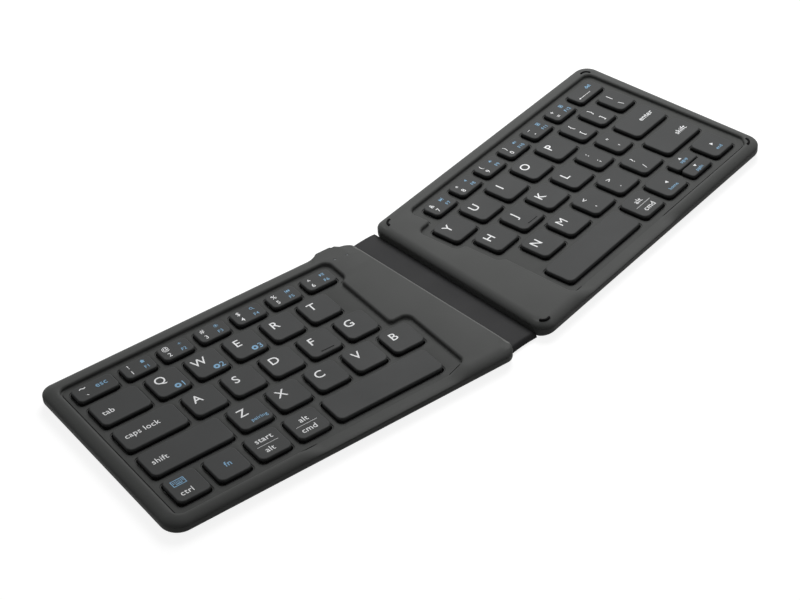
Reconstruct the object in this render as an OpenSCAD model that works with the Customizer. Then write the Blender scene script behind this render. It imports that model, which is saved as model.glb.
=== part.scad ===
// Two-part folding keyboard, lying open on its feet.
// Each half carries its keys in a sunken well, and a rubber-skinned spine with two hinge pins joins them.
// +X runs across the keys to the right, +Y towards the number row, +Z up.
// The origin is the centre of the footprint, at the underside of the feet.

/* [Key layout] */
// Distance between neighbouring letter keys
key_pitch = 18; // [17.8:0.1:18.2]
// Width and depth of a letter key
key_cap = 14.6; // [14:0.1:14.8]
// Depth of a number key
short_key = 9.2; // [8.8:0.1:9.4]
// Front line of the number row, from the front line of the bottom row
number_row_y = 71.8; // [71.4:0.1:72]
// Gap round a key in its window
key_gap = 0.8; // [0.5:0.1:0.8]
// How far a key travels
key_travel = 1.5; // [1:0.1:1.6]

/* [Halves] */
// Angle that each half is turned from the fold
half_angle = 7.25; // [7:0.05:7.5]
// Front edge of a half, from the front line of the bottom row
front_edge = 9.2; // [9:0.1:9.5]
// Back edge of a half, from the front line of the bottom row
back_edge = 91; // [90.8:0.1:91.4]
// Left edge of the left half, from its grid's origin
left_edge = 39; // [38.5:0.1:39.5]
// Right edge of the right half at its front corner, from its grid's origin
right_edge = 115.7; // [115.5:0.1:116.5]
// How much further out the right edge lies at the back corner
right_lean = 3.9; // [3:0.1:4]
// Radius of the outer corners in plan
outer_corner_r = 8; // [7.5:0.1:9]

/* [Heights] */
// Height of the feet below the housing
foot_height = 0.7; // [0.5:0.1:0.9]
// Height of the seam between top and bottom cover
seam_z = 4.9; // [4.8:0.05:5]
// Height of the well's floor, which holds the key windows
deck_z = 5.6; // [5.5:0.05:5.7]
// Height of the rim and of the key tops
top_z = 7.4; // [7.3:0.05:7.5]
// Thickness of the deck
deck_t = 1; // [0.9:0.05:1]
// Thickness of the bottom cover's floor
floor_t = 1; // [0.9:0.05:1]
// Thickness of the outer walls
wall_t = 1.6; // [1.4:0.05:1.6]
// Width of the rim's outer rounding
rim_run = 5.2; // [5:0.1:5.4]

/* [Spine] */
// Distance from the fold's middle to each hinge pin
hinge_x = 6; // [6:0.05:6.1]
// Height of the hinge pins
hinge_z = 1.85; // [1.8:0.05:1.85]
// Distance from the fold's middle to each half's wall
wall_x = 7.4; // [7.4:0.05:7.5]
// Front end of the spine
spine_front = -56.5; // [-57:0.1:-56]
// Length of the spine
spine_len = 96; // [95:0.5:97]
// Radius of a hinge knuckle
knuckle_r = 0.9; // [0.8:0.05:0.9]
// Radius of a hinge pin
pin_r = 0.45; // [0.4:0.05:0.45]

/* [Hidden] */
cover_colour = "#3f4143";
key_colour = "#4a4b4c";
rubber_colour = "#1b1c1d";
steel_colour = "#a9adb0";

// Places of the key grids' origins: the front line of the bottom row, in the first letter columns' units
left_origin = [-127.94, -35.66];
right_origin = [52, -45.46];
tiny = 0.01;
house_z = foot_height;
floor_z = house_z + floor_t;
edge_z = deck_z - 0.4;
side_low_z = 3;

// Key sizes, in key pitches
cap_w = key_cap / key_pitch;
number_step = 0.96;
number_w = 0.78;
// Keys of the left half: name, left edge and width in pitches, and row from the front
left_keys = concat(
    [["ctrl", -1.62, cap_w, 0], ["fn", -0.62, cap_w, 0], ["option", 0.39, cap_w, 0],
     ["command", 1.39, cap_w, 0], ["space_left", 2.39, 2.78, 0],
     ["shift_left", -1.62, 2.03, 1], ["caps_lock", -1.63, 1.53, 2], ["tab", -1.63, 1.22, 3]],
    run("zxcvb", 0.60, 1), run("asdfg", 0.09, 2), run("qwert", -0.22, 3));
left_number_keys = concat([["escape", -1.66, 1.02, 4]],
    [for (i = [0:5]) [str("number_", i + 1), -0.45 + i * number_step, number_w, 4]]);
// Keys of the right half, in the same form
right_keys = concat(
    [["space_right", -0.87, 2.79, 0], ["command_right", 2.11, cap_w, 0], ["arrow_left", 3.10, cap_w, 0],
     ["arrow_right", 5.10, 0.79, 0], ["shift_right", 4.53, 1.41, 1], ["semicolon", 3.06, 0.64, 2],
     ["quote", 3.89, 0.61, 2], ["enter", 4.69, 1.27, 2], ["bracket_left", 3.78, 0.63, 3],
     ["bracket_right", 4.60, 0.61, 3], ["backslash", 5.40, 0.63, 3], ["comma", 1.53, cap_w, 1],
     ["period", 2.53, cap_w, 1], ["slash", 3.53, cap_w, 1]],
    run("nm", -0.47, 1), run("hjkl", -0.945, 2), run("yuiop", -1.225, 3));
right_number_keys = concat(
    [for (i = [0:5]) [str("number_", i + 7), -0.70 + i * number_step, number_w, 4]],
    [["backspace", 5.07, 0.98, 4]]);
// The up and down keys share one key's space
arrow_up = ["arrow_up", 4.11, cap_w, 0];
half_key = key_cap / 2 - 0.25;

// Keys that travel one by one, and banks of keys that share a node
left_singles = ["q", "w", "e", "r", "t", "a", "s", "d", "f", "g", "z", "x", "c", "v", "b", "space_left"];
right_singles = ["y", "u", "i", "o", "p", "h", "j", "k", "l", "n", "m", "space_right", "enter"];
left_modifiers = ["tab", "caps_lock", "shift_left", "ctrl", "fn", "option", "command"];
right_symbols = ["bracket_left", "bracket_right", "backslash", "semicolon", "quote", "comma", "period",
    "slash", "shift_right", "command_right"];

// Key wells in plan: outlines in each half's grid, joined and then rounded
well_back = 84.4;
well_front = -4.2;
left_well = [
    [[-33.2, well_front], [92.4, well_front], [92.4, well_back], [-33.2, well_back]],
    [[90, well_front], [92.4, well_front], [101.1, -1.4], [101.1, 35.8], [90, 35.8]],
    [[90, 69.6], [95.3, 69.6], [95.3, well_back], [90, well_back]]];
right_well = [
    [[-17.2, well_front], [107.3, well_front], [111.3, -0.2], [112.9, well_back], [-17.2, well_back]],
    [[-10, 50.8], [-10, 72.5], [-25.8, 72.5], [-25.8, 50.8]],
    [[-10, 30], [-10, 52], [-21.4, 52], [-21.4, 32.4]],
    [[-10, well_front], [-10, 34], [-18.5, 34], [-20, well_front]]];
well_corner_r = 3.4;

// Thumb scoops in the front rim: start and end on the deck, and the length of the ramps beside them
left_scoop = [31, 90];
right_scoop = [-11, 42];
scoop_ramp = 11;

// Hinge along the spine, measured from the spine's front end
ear_spans = [[6, 14], [42, 50], [78, 86]];
link_spans = [[14.3, 22.3], [33.7, 41.7], [50.3, 56.3], [71.7, 77.7]];
cable_span = [58, 70];
pin_fit = 0.07;
pin_grip = 0.02;
link_half_w = 4.4;
link_low_z = 1.1;
link_top_z = 2.35;
skin_low_z = 0.9;
skin_high_z = 2.8;
skin_t = 0.25;
// How far the skin stands inside the spine's front end and past its back end
skin_front_gap = 0.8;
skin_back_over = 0.5;
cable_z = 2.45;
cable_t = 0.15;

// Screws, feet and soft stops
screw_r = 0.6;
screw_head_r = 1.1;
screw_head_h = 0.7;
boss_r = 1.5;
left_screw_places = [[-34.3, 6], [-34.3, 76], [34, 86.3], [109, 14], [6, -4.5], [107.8, 77.8]];
right_screw_places = [[111.7, 8], [114.3, 76], [40, 86.3], [-30.8, 74.9], [70, -4.5], [-26, -4.5]];
// Screw shaft and its hole in the top cover
screw_top_z = 5.15;
screw_hole_z = 5.25;
foot_r = 4;
foot_inset = 0.3;
left_foot_places = [[-29, 0], [-29, 82], [104, 0], [100, 72]];
right_foot_places = [[107, 0], [109, 82], [-33, 4], [-24, 80]];
bumper_r = 2.8;
bumper_w = 0.9;
bumper_rise = 0.3;
bumper_depth = 0.9;
// Corner stops: centre in the right half's grid, and the direction that the arc faces
bumper_places = [[-26.9, 84.5, 128], [-39.7, -3, 240], [111.1, 83.5, 50], [108.2, -2.4, 311]];
bumper_sweep = 100;

// Charging socket, its boss in the back rim, and the status lights beside it
socket_x = 99;
socket_w = 9;
socket_h = 3.2;
socket_d = 7.3;
socket_wall = 0.3;
socket_z = 4.1;
boss_top = [94, 103.4];
boss_ramp = 5;
light_places = [[98.5, 83.2], [104.3, 82.4]];
light_r = 0.5;

// What lies inside
battery_x = 9.8;
battery_y = -48;
battery_w = 13.2;
battery_l = 44;
plate_t = 0.3;
membrane_t = 0.25;
board_t = 0.65;
board_z = 1.75;
cavity_z = 6.2;
cap_low_z = 5;
cap_under_z = 6.4;
cap_wall = 1.1;
dome_top_z = 6.3;
link_t = 0.8;
dome_wall = 0.4;

single_nodes = concat([for (k = left_singles) str("key_", k)], [for (k = right_singles) str("key_", k)]);

// One row of letter keys, a pitch apart
function run(letters, start, row) = [for (i = [0:len(letters) - 1]) [letters[i], start + i, cap_w, row]];
function key_x(k) = k[1] * key_pitch;
function key_y(k) = k[3] == 4 ? number_row_y : k[3] * key_pitch;
function key_w(k) = k[2] * key_pitch;
function key_d(k) = k[3] == 4 ? short_key : key_cap;
function named(keys, names) = [for (k = keys) for (n = names) if (k[0] == n) k];

// Plan geometry: the fold line seen from a half's own grid, and rounded corners of a convex outline
function left_hinge_at(y) = (-wall_x - left_origin[0] - y * sin(half_angle)) / cos(half_angle);
function right_hinge_at(y) = (wall_x - right_origin[0] + y * sin(half_angle)) / cos(half_angle);
left_outline = [[-left_edge, -front_edge], [left_hinge_at(-front_edge), -front_edge],
    [left_hinge_at(back_edge), back_edge], [-left_edge, back_edge]];
right_outline = [[right_hinge_at(-front_edge), -front_edge], [right_edge, -front_edge],
    [right_edge + right_lean, back_edge], [right_hinge_at(back_edge), back_edge]];
left_radii = [outer_corner_r, 5, 6, 6];
right_radii = [6, outer_corner_r, 6.8, 6];
// Which side of each outline faces the spine
left_hinge_side = 1;
right_hinge_side = 3;
// Width of the rounding along the spine: a crisp edge on the left half, a soft one on the right
left_hinge_run = 0.7;
right_hinge_run = 4;

function unit(v) = v / norm(v);
function side_dir(p, i) = unit(p[(i + 1) % 4] - p[i % 4]);
function corner_centre(p, gaps, i, r) = let (
    a = side_dir(p, i + 3), b = side_dir(p, i),
    ga = gaps[(i + 3) % 4] + r, gb = gaps[i] + r,
    s = a[0] * b[1] - a[1] * b[0]) p[i] + (b * ga - a * gb) / s;
function side_gaps(outer, hinge, hinge_side) = [for (i = [0:3]) i == hinge_side ? hinge : outer];

module on_left() {
    translate(left_origin) rotate(-half_angle) children();
}

module on_right() {
    translate(right_origin) rotate(half_angle) children();
}

// Four thin discs at an outline's corners; a hull over them makes a rounded slab
module corner_discs(p, radii, hinge_side, outer_gap, hinge_gap, z) {
    gaps = side_gaps(outer_gap, hinge_gap, hinge_side);
    for (i = [0:3]) {
        r = max(radii[i] - max(outer_gap, hinge_gap), 0.8);
        c = corner_centre(p, gaps, i, r);
        translate([c[0], c[1], z]) cylinder(r = r, h = tiny, $fn = 32);
    }
}

// Upper form of a half: a low side, a wide rounding to the rim and one of its own width at the spine
module top_form(p, radii, hinge_side, hinge_run) {
    hull() {
        corner_discs(p, radii, hinge_side, 0, 0, seam_z);
        for (t = [0:22.5:90])
            corner_discs(p, radii, hinge_side, rim_run * (1 - cos(t)), hinge_run * (1 - cos(t)),
                edge_z + (top_z - edge_z - tiny) * sin(t));
    }
}

// Lower form of a half: a straight side over a soft undercut
module bottom_form(p, radii, hinge_side) {
    hull() {
        corner_discs(p, radii, hinge_side, 3.4, 0.8, house_z);
        corner_discs(p, radii, hinge_side, 1.2, 0.2, house_z + 0.9);
        corner_discs(p, radii, hinge_side, 0, 0, side_low_z);
        corner_discs(p, radii, hinge_side, 0, 0, seam_z - tiny);
    }
}

// Straight-sided slab of a half's outline, taken in by one gap all round
module inner_slab(p, radii, hinge_side, gap, z0, z1) {
    translate([0, 0, z0]) linear_extrude(z1 - z0) hull()
        for (i = [0:3]) {
            r = max(radii[i] - gap, 0.8);
            translate(corner_centre(p, side_gaps(gap, gap, hinge_side), i, r)) circle(r, $fn = 32);
        }
}

module well_outline(well) {
    offset(r = -2, $fn = 32) offset(delta = 2)
        offset(r = well_corner_r, $fn = 32) offset(delta = -well_corner_r)
            for (patch = well) polygon(patch);
}

module rounded_rect(w, d, r) {
    translate([r, 0]) square([w - 2 * r, d]);
    translate([0, r]) square([w, d - 2 * r]);
    for (x = [r, w - r], y = [r, d - r]) translate([x, y]) circle(r, $fn = 32);
}

// A pill-shaped bar along Y, such as the socket's shell
module pill_bar(w, h, d) {
    rotate([90, 0, 0]) translate([0, 0, -d]) linear_extrude(d) {
        square([w - h, h], center = true);
        for (x = [-1, 1]) translate([x * (w - h) / 2, 0]) circle(h / 2, $fn = 48);
    }
}

module key_windows(keys) {
    for (k = keys)
        translate([key_x(k) - key_gap, key_y(k) - key_gap, deck_z - deck_t - 1])
            linear_extrude(deck_t + 2)
                rounded_rect(key_w(k) + 2 * key_gap, key_d(k) + 2 * key_gap, 2.4);
}

// The front rim dips to the deck between two ramps, where the thumbs reach the space bars
module scoop(span) {
    rise = top_z - deck_z;
    over = 1;
    translate([0, well_front + 0.6, 0]) rotate([90, 0, 0]) linear_extrude(front_edge)
        polygon([[span[0], deck_z], [span[1], deck_z],
            [span[1] + scoop_ramp * (rise + over) / rise, top_z + over],
            [span[0] - scoop_ramp * (rise + over) / rise, top_z + over]]);
}

module screw_bores(places, r, z0, z1) {
    for (p = places) translate([p[0], p[1], z0]) cylinder(r = r, h = z1 - z0, $fn = 32);
}

module socket_recess() {
    gap = 0.05;
    translate([socket_x, back_edge - socket_d - gap, socket_z])
        pill_bar(socket_w + 2 * gap, socket_h + 2 * gap, socket_d + 2);
}

// ---- Covers ----

module left_top_cover() {
    color(cover_colour) on_left() difference() {
        union() {
            top_form(left_outline, left_radii, left_hinge_side, left_hinge_run);
            inner_slab(left_outline, left_radii, left_hinge_side, wall_t + 0.1, deck_z - deck_t, deck_z);
            socket_boss();
        }
        translate([0, 0, deck_z]) linear_extrude(3) well_outline(left_well);
        scoop(left_scoop);
        key_windows(concat(left_keys, left_number_keys));
        board_cavity();
        socket_recess();
        screw_bores(left_screw_places, screw_r + tiny, deck_z - deck_t - 1, screw_hole_z);
        for (p = light_places) translate([p[0], p[1], seam_z]) cylinder(r = light_r + 0.05, h = 4, $fn = 32);
    }
}

// The rim keeps its full height over the charging socket
module socket_boss() {
    translate([0, back_edge, 0]) rotate([90, 0, 0]) linear_extrude(back_edge - well_back - 0.5)
        polygon([[boss_top[0] - boss_ramp, seam_z], [boss_top[0] - boss_ramp, edge_z],
            [boss_top[0], top_z], [boss_top[1], top_z], [boss_top[1] + 3, seam_z]]);
}

// Room for the circuit board, under the flat beside the spine
module board_cavity() {
    translate([102.2, 4, deck_z - deck_t - 1]) cube([5, 34, cavity_z - deck_z + deck_t + 1]);
    translate([96.6, 44, deck_z - deck_t - 1]) cube([9.6, 40.4, cavity_z - deck_z + deck_t + 1]);
}

module right_top_cover() {
    color(cover_colour) on_right() difference() {
        union() {
            top_form(right_outline, right_radii, right_hinge_side, right_hinge_run);
            inner_slab(right_outline, right_radii, right_hinge_side, wall_t + 0.1, deck_z - deck_t, deck_z);
        }
        translate([0, 0, deck_z]) linear_extrude(3) well_outline(right_well);
        scoop(right_scoop);
        key_windows(concat(right_keys, right_number_keys, [arrow_up]));
        battery_cavity();
        screw_bores(right_screw_places, screw_r + tiny, deck_z - deck_t - 1, screw_hole_z);
        for (b = bumper_places) bumper_arc(b, bumper_w + 0.1, bumper_depth + 1);
    }
}

module battery_cavity() {
    rotate(-half_angle) translate(-right_origin)
        translate([battery_x - 0.3, battery_y - 0.3, deck_z - deck_t - 1])
            cube([battery_w + 0.6, battery_l + 0.6, cavity_z - deck_z + deck_t + 1]);
}

module bottom_cover(p, radii, hinge_side, screws, feet) {
    difference() {
        union() {
            difference() {
                bottom_form(p, radii, hinge_side);
                inner_slab(p, radii, hinge_side, wall_t, floor_z, seam_z + 1);
            }
            for (s = screws) translate([s[0], s[1], floor_z - tiny])
                cylinder(r = boss_r, h = deck_z - deck_t - floor_z + tiny, $fn = 32);
        }
        screw_bores(screws, screw_r + 0.1, house_z - 1, seam_z);
        screw_bores(screws, screw_head_r + 0.1, house_z - 1, house_z + screw_head_h);
        screw_bores(feet, foot_r + 0.1, house_z - 1, house_z + foot_inset);
    }
}

// Slot in a half's spine wall for the flex cable
module cable_slot() {
    translate([-wall_x - 3, spine_front + cable_span[0] - 0.5, cable_z - 0.15])
        cube([2 * wall_x + 6, cable_span[1] - cable_span[0] + 1, 0.5]);
}

// Ears that carry a hinge pin, reaching from a half's wall (side -1 left, 1 right)
module hinge_ears(side) {
    for (s = ear_spans)
        translate([side * hinge_x, spine_front + s[0], hinge_z]) difference() {
            union() {
                rotate([-90, 0, 0]) cylinder(r = knuckle_r, h = s[1] - s[0], $fn = 32);
                translate([side > 0 ? 0 : hinge_x - wall_x - 1, 0, -0.6])
                    cube([wall_x - hinge_x + 1, s[1] - s[0], 1.2]);
            }
            translate([0, -1, 0]) rotate([-90, 0, 0])
                cylinder(r = pin_r + pin_grip, h = s[1] - s[0] + 2, $fn = 32);
        }
}

module left_bottom_cover() {
    color(cover_colour) {
        difference() {
            on_left() difference() {
                bottom_cover(left_outline, left_radii, left_hinge_side, left_screw_places, left_foot_places);
                socket_recess();
            }
            cable_slot();
        }
        hinge_ears(-1);
    }
}

module right_bottom_cover() {
    color(cover_colour) {
        difference() {
            on_right()
                bottom_cover(right_outline, right_radii, right_hinge_side, right_screw_places,
                    right_foot_places);
            cable_slot();
        }
        hinge_ears(1);
    }
}

// ---- Spine ----

module spine_link() {
    color(steel_colour) difference() {
        union() {
            translate([-link_half_w, spine_front + 3, link_low_z])
                cube([2 * link_half_w, spine_len - 6, link_top_z - link_low_z]);
            for (side = [-1, 1], s = link_spans)
                translate([side * hinge_x, spine_front + s[0], hinge_z]) {
                    rotate([-90, 0, 0]) cylinder(r = knuckle_r, h = s[1] - s[0], $fn = 32);
                    translate([side > 0 ? link_half_w - hinge_x - tiny : 0, 0, -0.6])
                        cube([hinge_x - link_half_w + tiny, s[1] - s[0], 1.1]);
                }
        }
        for (side = [-1, 1])
            translate([side * hinge_x, spine_front, hinge_z]) rotate([-90, 0, 0])
                cylinder(r = pin_r + pin_fit, h = spine_len, $fn = 32);
    }
}

// Rubber skin: a flat tube round the link, open at both sides and closed at its ends
module spine_skin() {
    w = wall_x - 0.1;
    color(rubber_colour) difference() {
        translate([-w, spine_front + skin_front_gap, skin_low_z - 0.2])
            cube([2 * w, spine_len - skin_front_gap + skin_back_over,
                skin_high_z + skin_t - skin_low_z + 0.2]);
        translate([-w - 1, spine_front + 2.6, skin_low_z])
            cube([2 * w + 2, spine_len - 5.2, skin_high_z - skin_low_z]);
    }
}

module hinge_pin(side) {
    color(steel_colour) translate([side * hinge_x, spine_front + ear_spans[0][0], hinge_z])
        rotate([-90, 0, 0]) cylinder(r = pin_r, h = ear_spans[2][1] - ear_spans[0][0], $fn = 32);
}

module flex_cable() {
    color("#b5772a") translate([-17, spine_front + cable_span[0], cable_z])
        cube([30, cable_span[1] - cable_span[0], cable_t]);
}

// ---- Inside the halves ----

module key_sheet(well, z, t) {
    translate([0, 0, z]) linear_extrude(t) offset(delta = -1.4) well_outline(well);
}

// Tail of the right membrane, with the block that takes the flex cable's end
module membrane_tail() {
    z = floor_z + plate_t;
    translate([10.5, spine_front + cable_span[0] + 1, z]) cube([16, 10, membrane_t]);
    translate([10.5, spine_front + cable_span[0] + 1, z]) cube([2, 10, cable_z - z]);
}

module battery() {
    color("#8f9499") translate([battery_x, battery_y, floor_z])
        linear_extrude(3.8) rounded_rect(battery_w, battery_l, 1.2);
}

module circuit_board() {
    color("#1f5a38") on_left() {
        translate([97, 46, board_z]) cube([8.8, 42.4, board_t]);
        translate([98.6, 50, board_z + board_t + 0.3]) cube([5, 5, 0.9]);
        translate([98.2, 66, board_z + board_t]) cube([6, 9, 1.6]);
    }
}

module charging_socket() {
    color(steel_colour) on_left() translate([socket_x, back_edge - socket_d, socket_z]) difference() {
        pill_bar(socket_w, socket_h, socket_d - 0.1);
        translate([0, 1, 0]) pill_bar(socket_w - 2 * socket_wall, socket_h - 2 * socket_wall, socket_d);
    }
    color(rubber_colour) on_left() translate([socket_x - 3.3, back_edge - socket_d + 0.9, socket_z - 0.35])
        cube([6.6, 4.8, 0.7]);
}

module status_lights() {
    color("#d8e6ec") on_left() for (p = light_places)
        translate([p[0], p[1], board_z + board_t])
            cylinder(r = light_r, h = top_z - board_z - board_t, $fn = 32);
}

module bumper_arc(b, w, depth) {
    translate([b[0], b[1], top_z - bumper_depth]) rotate(b[2] - bumper_sweep / 2)
        rotate_extrude(angle = bumper_sweep, $fn = 64) translate([bumper_r - w / 2, 0]) square([w, depth]);
}

module corner_bumpers() {
    color(rubber_colour) on_right()
        for (b = bumper_places) bumper_arc(b, bumper_w, bumper_depth + bumper_rise);
}

module feet(places) {
    color(rubber_colour) for (p = places)
        translate(p) cylinder(r = foot_r, h = foot_height + foot_inset, $fn = 48);
}

module screws(places) {
    color(steel_colour) for (p = places) translate(p) {
        translate([0, 0, house_z + 0.05]) cylinder(r = screw_head_r, h = screw_head_h - 0.05, $fn = 32);
        translate([0, 0, house_z + screw_head_h])
            cylinder(r = screw_r, h = screw_top_z - house_z - screw_head_h, $fn = 32);
    }
}

// ---- Keys ----

// Cap with a slightly smaller crown, hollow beneath
module key_cap(w, d) {
    crown = 0.2;
    crown_z = top_z - 0.5;
    difference() {
        union() {
            translate([0, 0, cap_low_z]) linear_extrude(crown_z - cap_low_z) rounded_rect(w, d, 2);
            translate([crown, crown, crown_z - tiny]) linear_extrude(top_z - crown_z + tiny)
                rounded_rect(w - 2 * crown, d - 2 * crown, 1.8);
        }
        translate([cap_wall, cap_wall, cap_low_z - 1])
            linear_extrude(cap_under_z - cap_low_z + 1) rounded_rect(w - 2 * cap_wall, d - 2 * cap_wall, 0.9);
    }
}

module keys(list) {
    color(key_colour) for (k = list) translate([key_x(k), key_y(k), 0]) {
        key_cap(key_w(k), key_d(k));
        if (k[0] == "f" || k[0] == "j")
            translate([key_w(k) * 0.34, 1.9, top_z - tiny]) cube([key_w(k) * 0.42, 0.6, 0.3]);
    }
}

module arrow_keys() {
    keys(named(right_keys, ["arrow_left", "arrow_right"]));
    color(key_colour) for (y = [0, key_cap - half_key])
        translate([key_x(arrow_up), y, 0]) key_cap(key_w(arrow_up), half_key);
}

// Scissor frames under a key: a wide one and a narrow one, crossed at mid height
function scissor_w(k) = min(12, key_w(k) - 2.6);
function scissor_l(k) = key_d(k) - 3.4;
function dome_r(k) = min(3.2, scissor_w(k) / 2 - 2.5, scissor_l(k) / 2 - 1.5);
// A space bar has two sets of links and domes; any other key has one
function supports(k) = key_w(k) > 40 ? [0.22, 0.78] : [0.5];

module scissor_frame(w, l, tilt) {
    rotate([tilt, 0, 0]) difference() {
        cube([w, l, link_t], center = true);
        cube([w - 2, l - 2, link_t + 1], center = true);
    }
}

module scissor_links(list) {
    mid_z = 4.3;
    rise = 1.45;
    color("#e8e8e4") for (k = list, s = supports(k)) {
        tilt = asin(2 * rise / scissor_l(k));
        translate([key_x(k) + key_w(k) * s, key_y(k) + key_d(k) / 2, mid_z]) {
            scissor_frame(scissor_w(k), scissor_l(k), tilt);
            scissor_frame(scissor_w(k) - 2.4, scissor_l(k), -tilt);
        }
    }
}

module rubber_dome(r) {
    z0 = floor_z + plate_t + membrane_t;
    color(rubber_colour) rotate_extrude($fn = 32)
        polygon([[r - dome_wall, z0], [r, z0], [r * 0.55, dome_top_z], [0, dome_top_z],
            [0, dome_top_z - 0.6], [r * 0.55 - dome_wall, dome_top_z - 0.6]]);
}

module rubber_domes(list) {
    for (k = list, s = supports(k))
        translate([key_x(k) + key_w(k) * s, key_y(k) + key_d(k) / 2, 0]) rubber_dome(dome_r(k));
}

module half_key_domes() {
    for (y = [half_key / 2, key_cap - half_key / 2])
        translate([key_x(arrow_up) + key_w(arrow_up) / 2, y, 0]) rubber_dome(1.6);
}

// ---- What each node draws ----

left_top_cover();
left_bottom_cover();
right_top_cover();
right_bottom_cover();
spine_link();
spine_skin();
hinge_pin(-1);  // left_hinge_pin
hinge_pin(1);  // right_hinge_pin
flex_cable();
color(steel_colour) on_left() key_sheet(left_well, floor_z, plate_t);  // left_key_plate
color(steel_colour) on_right() key_sheet(right_well, floor_z, plate_t);  // right_key_plate
color("#9fb4a4") on_left() key_sheet(left_well, floor_z + plate_t, membrane_t);  // left_membrane
color("#9fb4a4") {  // right_membrane
        on_right() key_sheet(right_well, floor_z + plate_t, membrane_t);
        membrane_tail();
    }
on_left() scissor_links(concat(left_keys, left_number_keys));  // left_scissor_links
on_right() scissor_links(concat(right_keys, right_number_keys));  // right_scissor_links
on_left() rubber_domes(concat(left_keys, left_number_keys));  // left_rubber_domes
on_right() {  // right_rubber_domes
    rubber_domes(concat(right_keys, right_number_keys));
    half_key_domes();
}
circuit_board();
charging_socket();
battery();
status_lights();
corner_bumpers();
on_left() feet(left_foot_places);  // left_feet
on_right() feet(right_foot_places);  // right_feet
on_left() screws(left_screw_places);  // left_screws
on_right() screws(right_screw_places);  // right_screws
on_left() keys(left_number_keys);  // keys_numbers_left
on_left() keys(named(left_keys, left_modifiers));  // keys_modifiers_left
on_right() keys(right_number_keys);  // keys_numbers_right
on_right() keys(named(right_keys, right_symbols));  // keys_symbols_right
on_right() arrow_keys();  // keys_arrows
for (k = left_singles)
    on_left() keys(named(left_keys, [k]));
for (k = right_singles)
    on_right() keys(named(right_keys, [k]));
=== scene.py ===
"""Folding keyboard: two angled halves, a rubber-skinned spine and low square keys.

Every visible piece is built here as a mesh in millimetres on its half's key grid, then placed in the
shared frame in metres. Pieces that stand for a CAD node replace it; the rest of the CAD nodes keep
their meshes and are only dressed.
"""

import logging
import math
from collections.abc import Sequence
from dataclasses import dataclass, field
from enum import Enum, IntEnum

import bmesh
import bpy
import numpy as np
from mathutils import Matrix, Vector
from mathutils.geometry import delaunay_2d_cdt


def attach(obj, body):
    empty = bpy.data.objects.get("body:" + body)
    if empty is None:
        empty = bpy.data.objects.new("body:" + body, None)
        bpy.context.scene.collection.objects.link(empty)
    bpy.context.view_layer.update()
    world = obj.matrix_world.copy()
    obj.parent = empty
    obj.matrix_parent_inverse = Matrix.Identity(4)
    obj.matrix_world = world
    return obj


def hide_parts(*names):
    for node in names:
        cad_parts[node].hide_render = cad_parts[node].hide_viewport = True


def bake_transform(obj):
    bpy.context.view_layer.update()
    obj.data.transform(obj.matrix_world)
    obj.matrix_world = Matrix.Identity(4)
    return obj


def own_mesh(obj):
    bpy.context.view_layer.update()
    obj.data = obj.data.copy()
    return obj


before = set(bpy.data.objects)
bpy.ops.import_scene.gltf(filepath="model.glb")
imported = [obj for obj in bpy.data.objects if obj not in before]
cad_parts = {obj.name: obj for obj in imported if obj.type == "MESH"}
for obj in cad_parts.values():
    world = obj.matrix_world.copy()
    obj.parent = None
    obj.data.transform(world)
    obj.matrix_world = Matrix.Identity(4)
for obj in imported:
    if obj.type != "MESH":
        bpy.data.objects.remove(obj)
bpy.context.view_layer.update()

MM = 0.001
WELD = 0.002 * MM
SHARP_ANGLE = math.radians(38)
SLIVER_AREA = 2e-4

Points = np.ndarray
Spot = tuple[float, float]
Spot3 = tuple[float, float, float]
Colour = tuple[float, float, float, float]
# One material slot, or a list with an entry for each quad or band
Tones = int | list
# What a node's input takes: another node's output, or a constant
Feed = bpy.types.NodeSocket | float | tuple

logging.basicConfig(level=logging.INFO, format="%(message)s")
log = logging.getLogger("keyboard")


# ---------------------------------------------------------------- places and outlines


def turned(x: float | Points, y: float | Points, angle: float) -> tuple:
    """Turn coordinates about the origin by an angle in radians."""
    c, s = math.cos(angle), math.sin(angle)
    return x * c - y * s, x * s + y * c


@dataclass(frozen=True)
class Grid:
    """A key grid: millimetres along and across the keys of one half, or of the spine."""

    origin: Spot = (0.0, 0.0)
    turn: float = 0.0

    def place(self, points: Points) -> Points:
        """Move rows of x, y, z from this grid to the shared frame.

        Args:
            points: the rows, in millimetres.

        Returns:
            The same points in the shared frame, in metres.
        """
        x, y, z = np.asarray(points, float).T
        x, y = turned(x, y, math.radians(self.turn))
        return MM * np.stack([self.origin[0] + x, self.origin[1] + y, z], axis=1)

    def own(self, x: float | Points, y: float | Points) -> tuple:
        """Give places of the shared frame, in millimetres, on this grid."""
        return turned(x - self.origin[0], y - self.origin[1], -math.radians(self.turn))

    def wall_x(self, wall: float, y: float) -> float:
        """Where a wall at a distance from the fold's middle crosses the grid line at y."""
        angle = math.radians(self.turn)
        return (wall - self.origin[0] + y * math.sin(angle)) / math.cos(angle)


LEFT_GRID = Grid((-127.94, -35.66), -7.25)
RIGHT_GRID = Grid((52.0, -45.46), 7.25)
SPINE_GRID = Grid()


class Side(Enum):
    """The two halves, by body name."""

    LEFT = "left_half"
    RIGHT = "right_half"

    @property
    def label(self) -> str:
        """The word left or right."""
        return self.value.split("_")[0]

    @property
    def sign(self) -> int:
        """Which way the half lies from the fold's middle."""
        return -1 if self is Side.LEFT else 1


def unit(vector: Points) -> Points:
    """The same direction with a length of one."""
    return vector / np.linalg.norm(vector)


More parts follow.
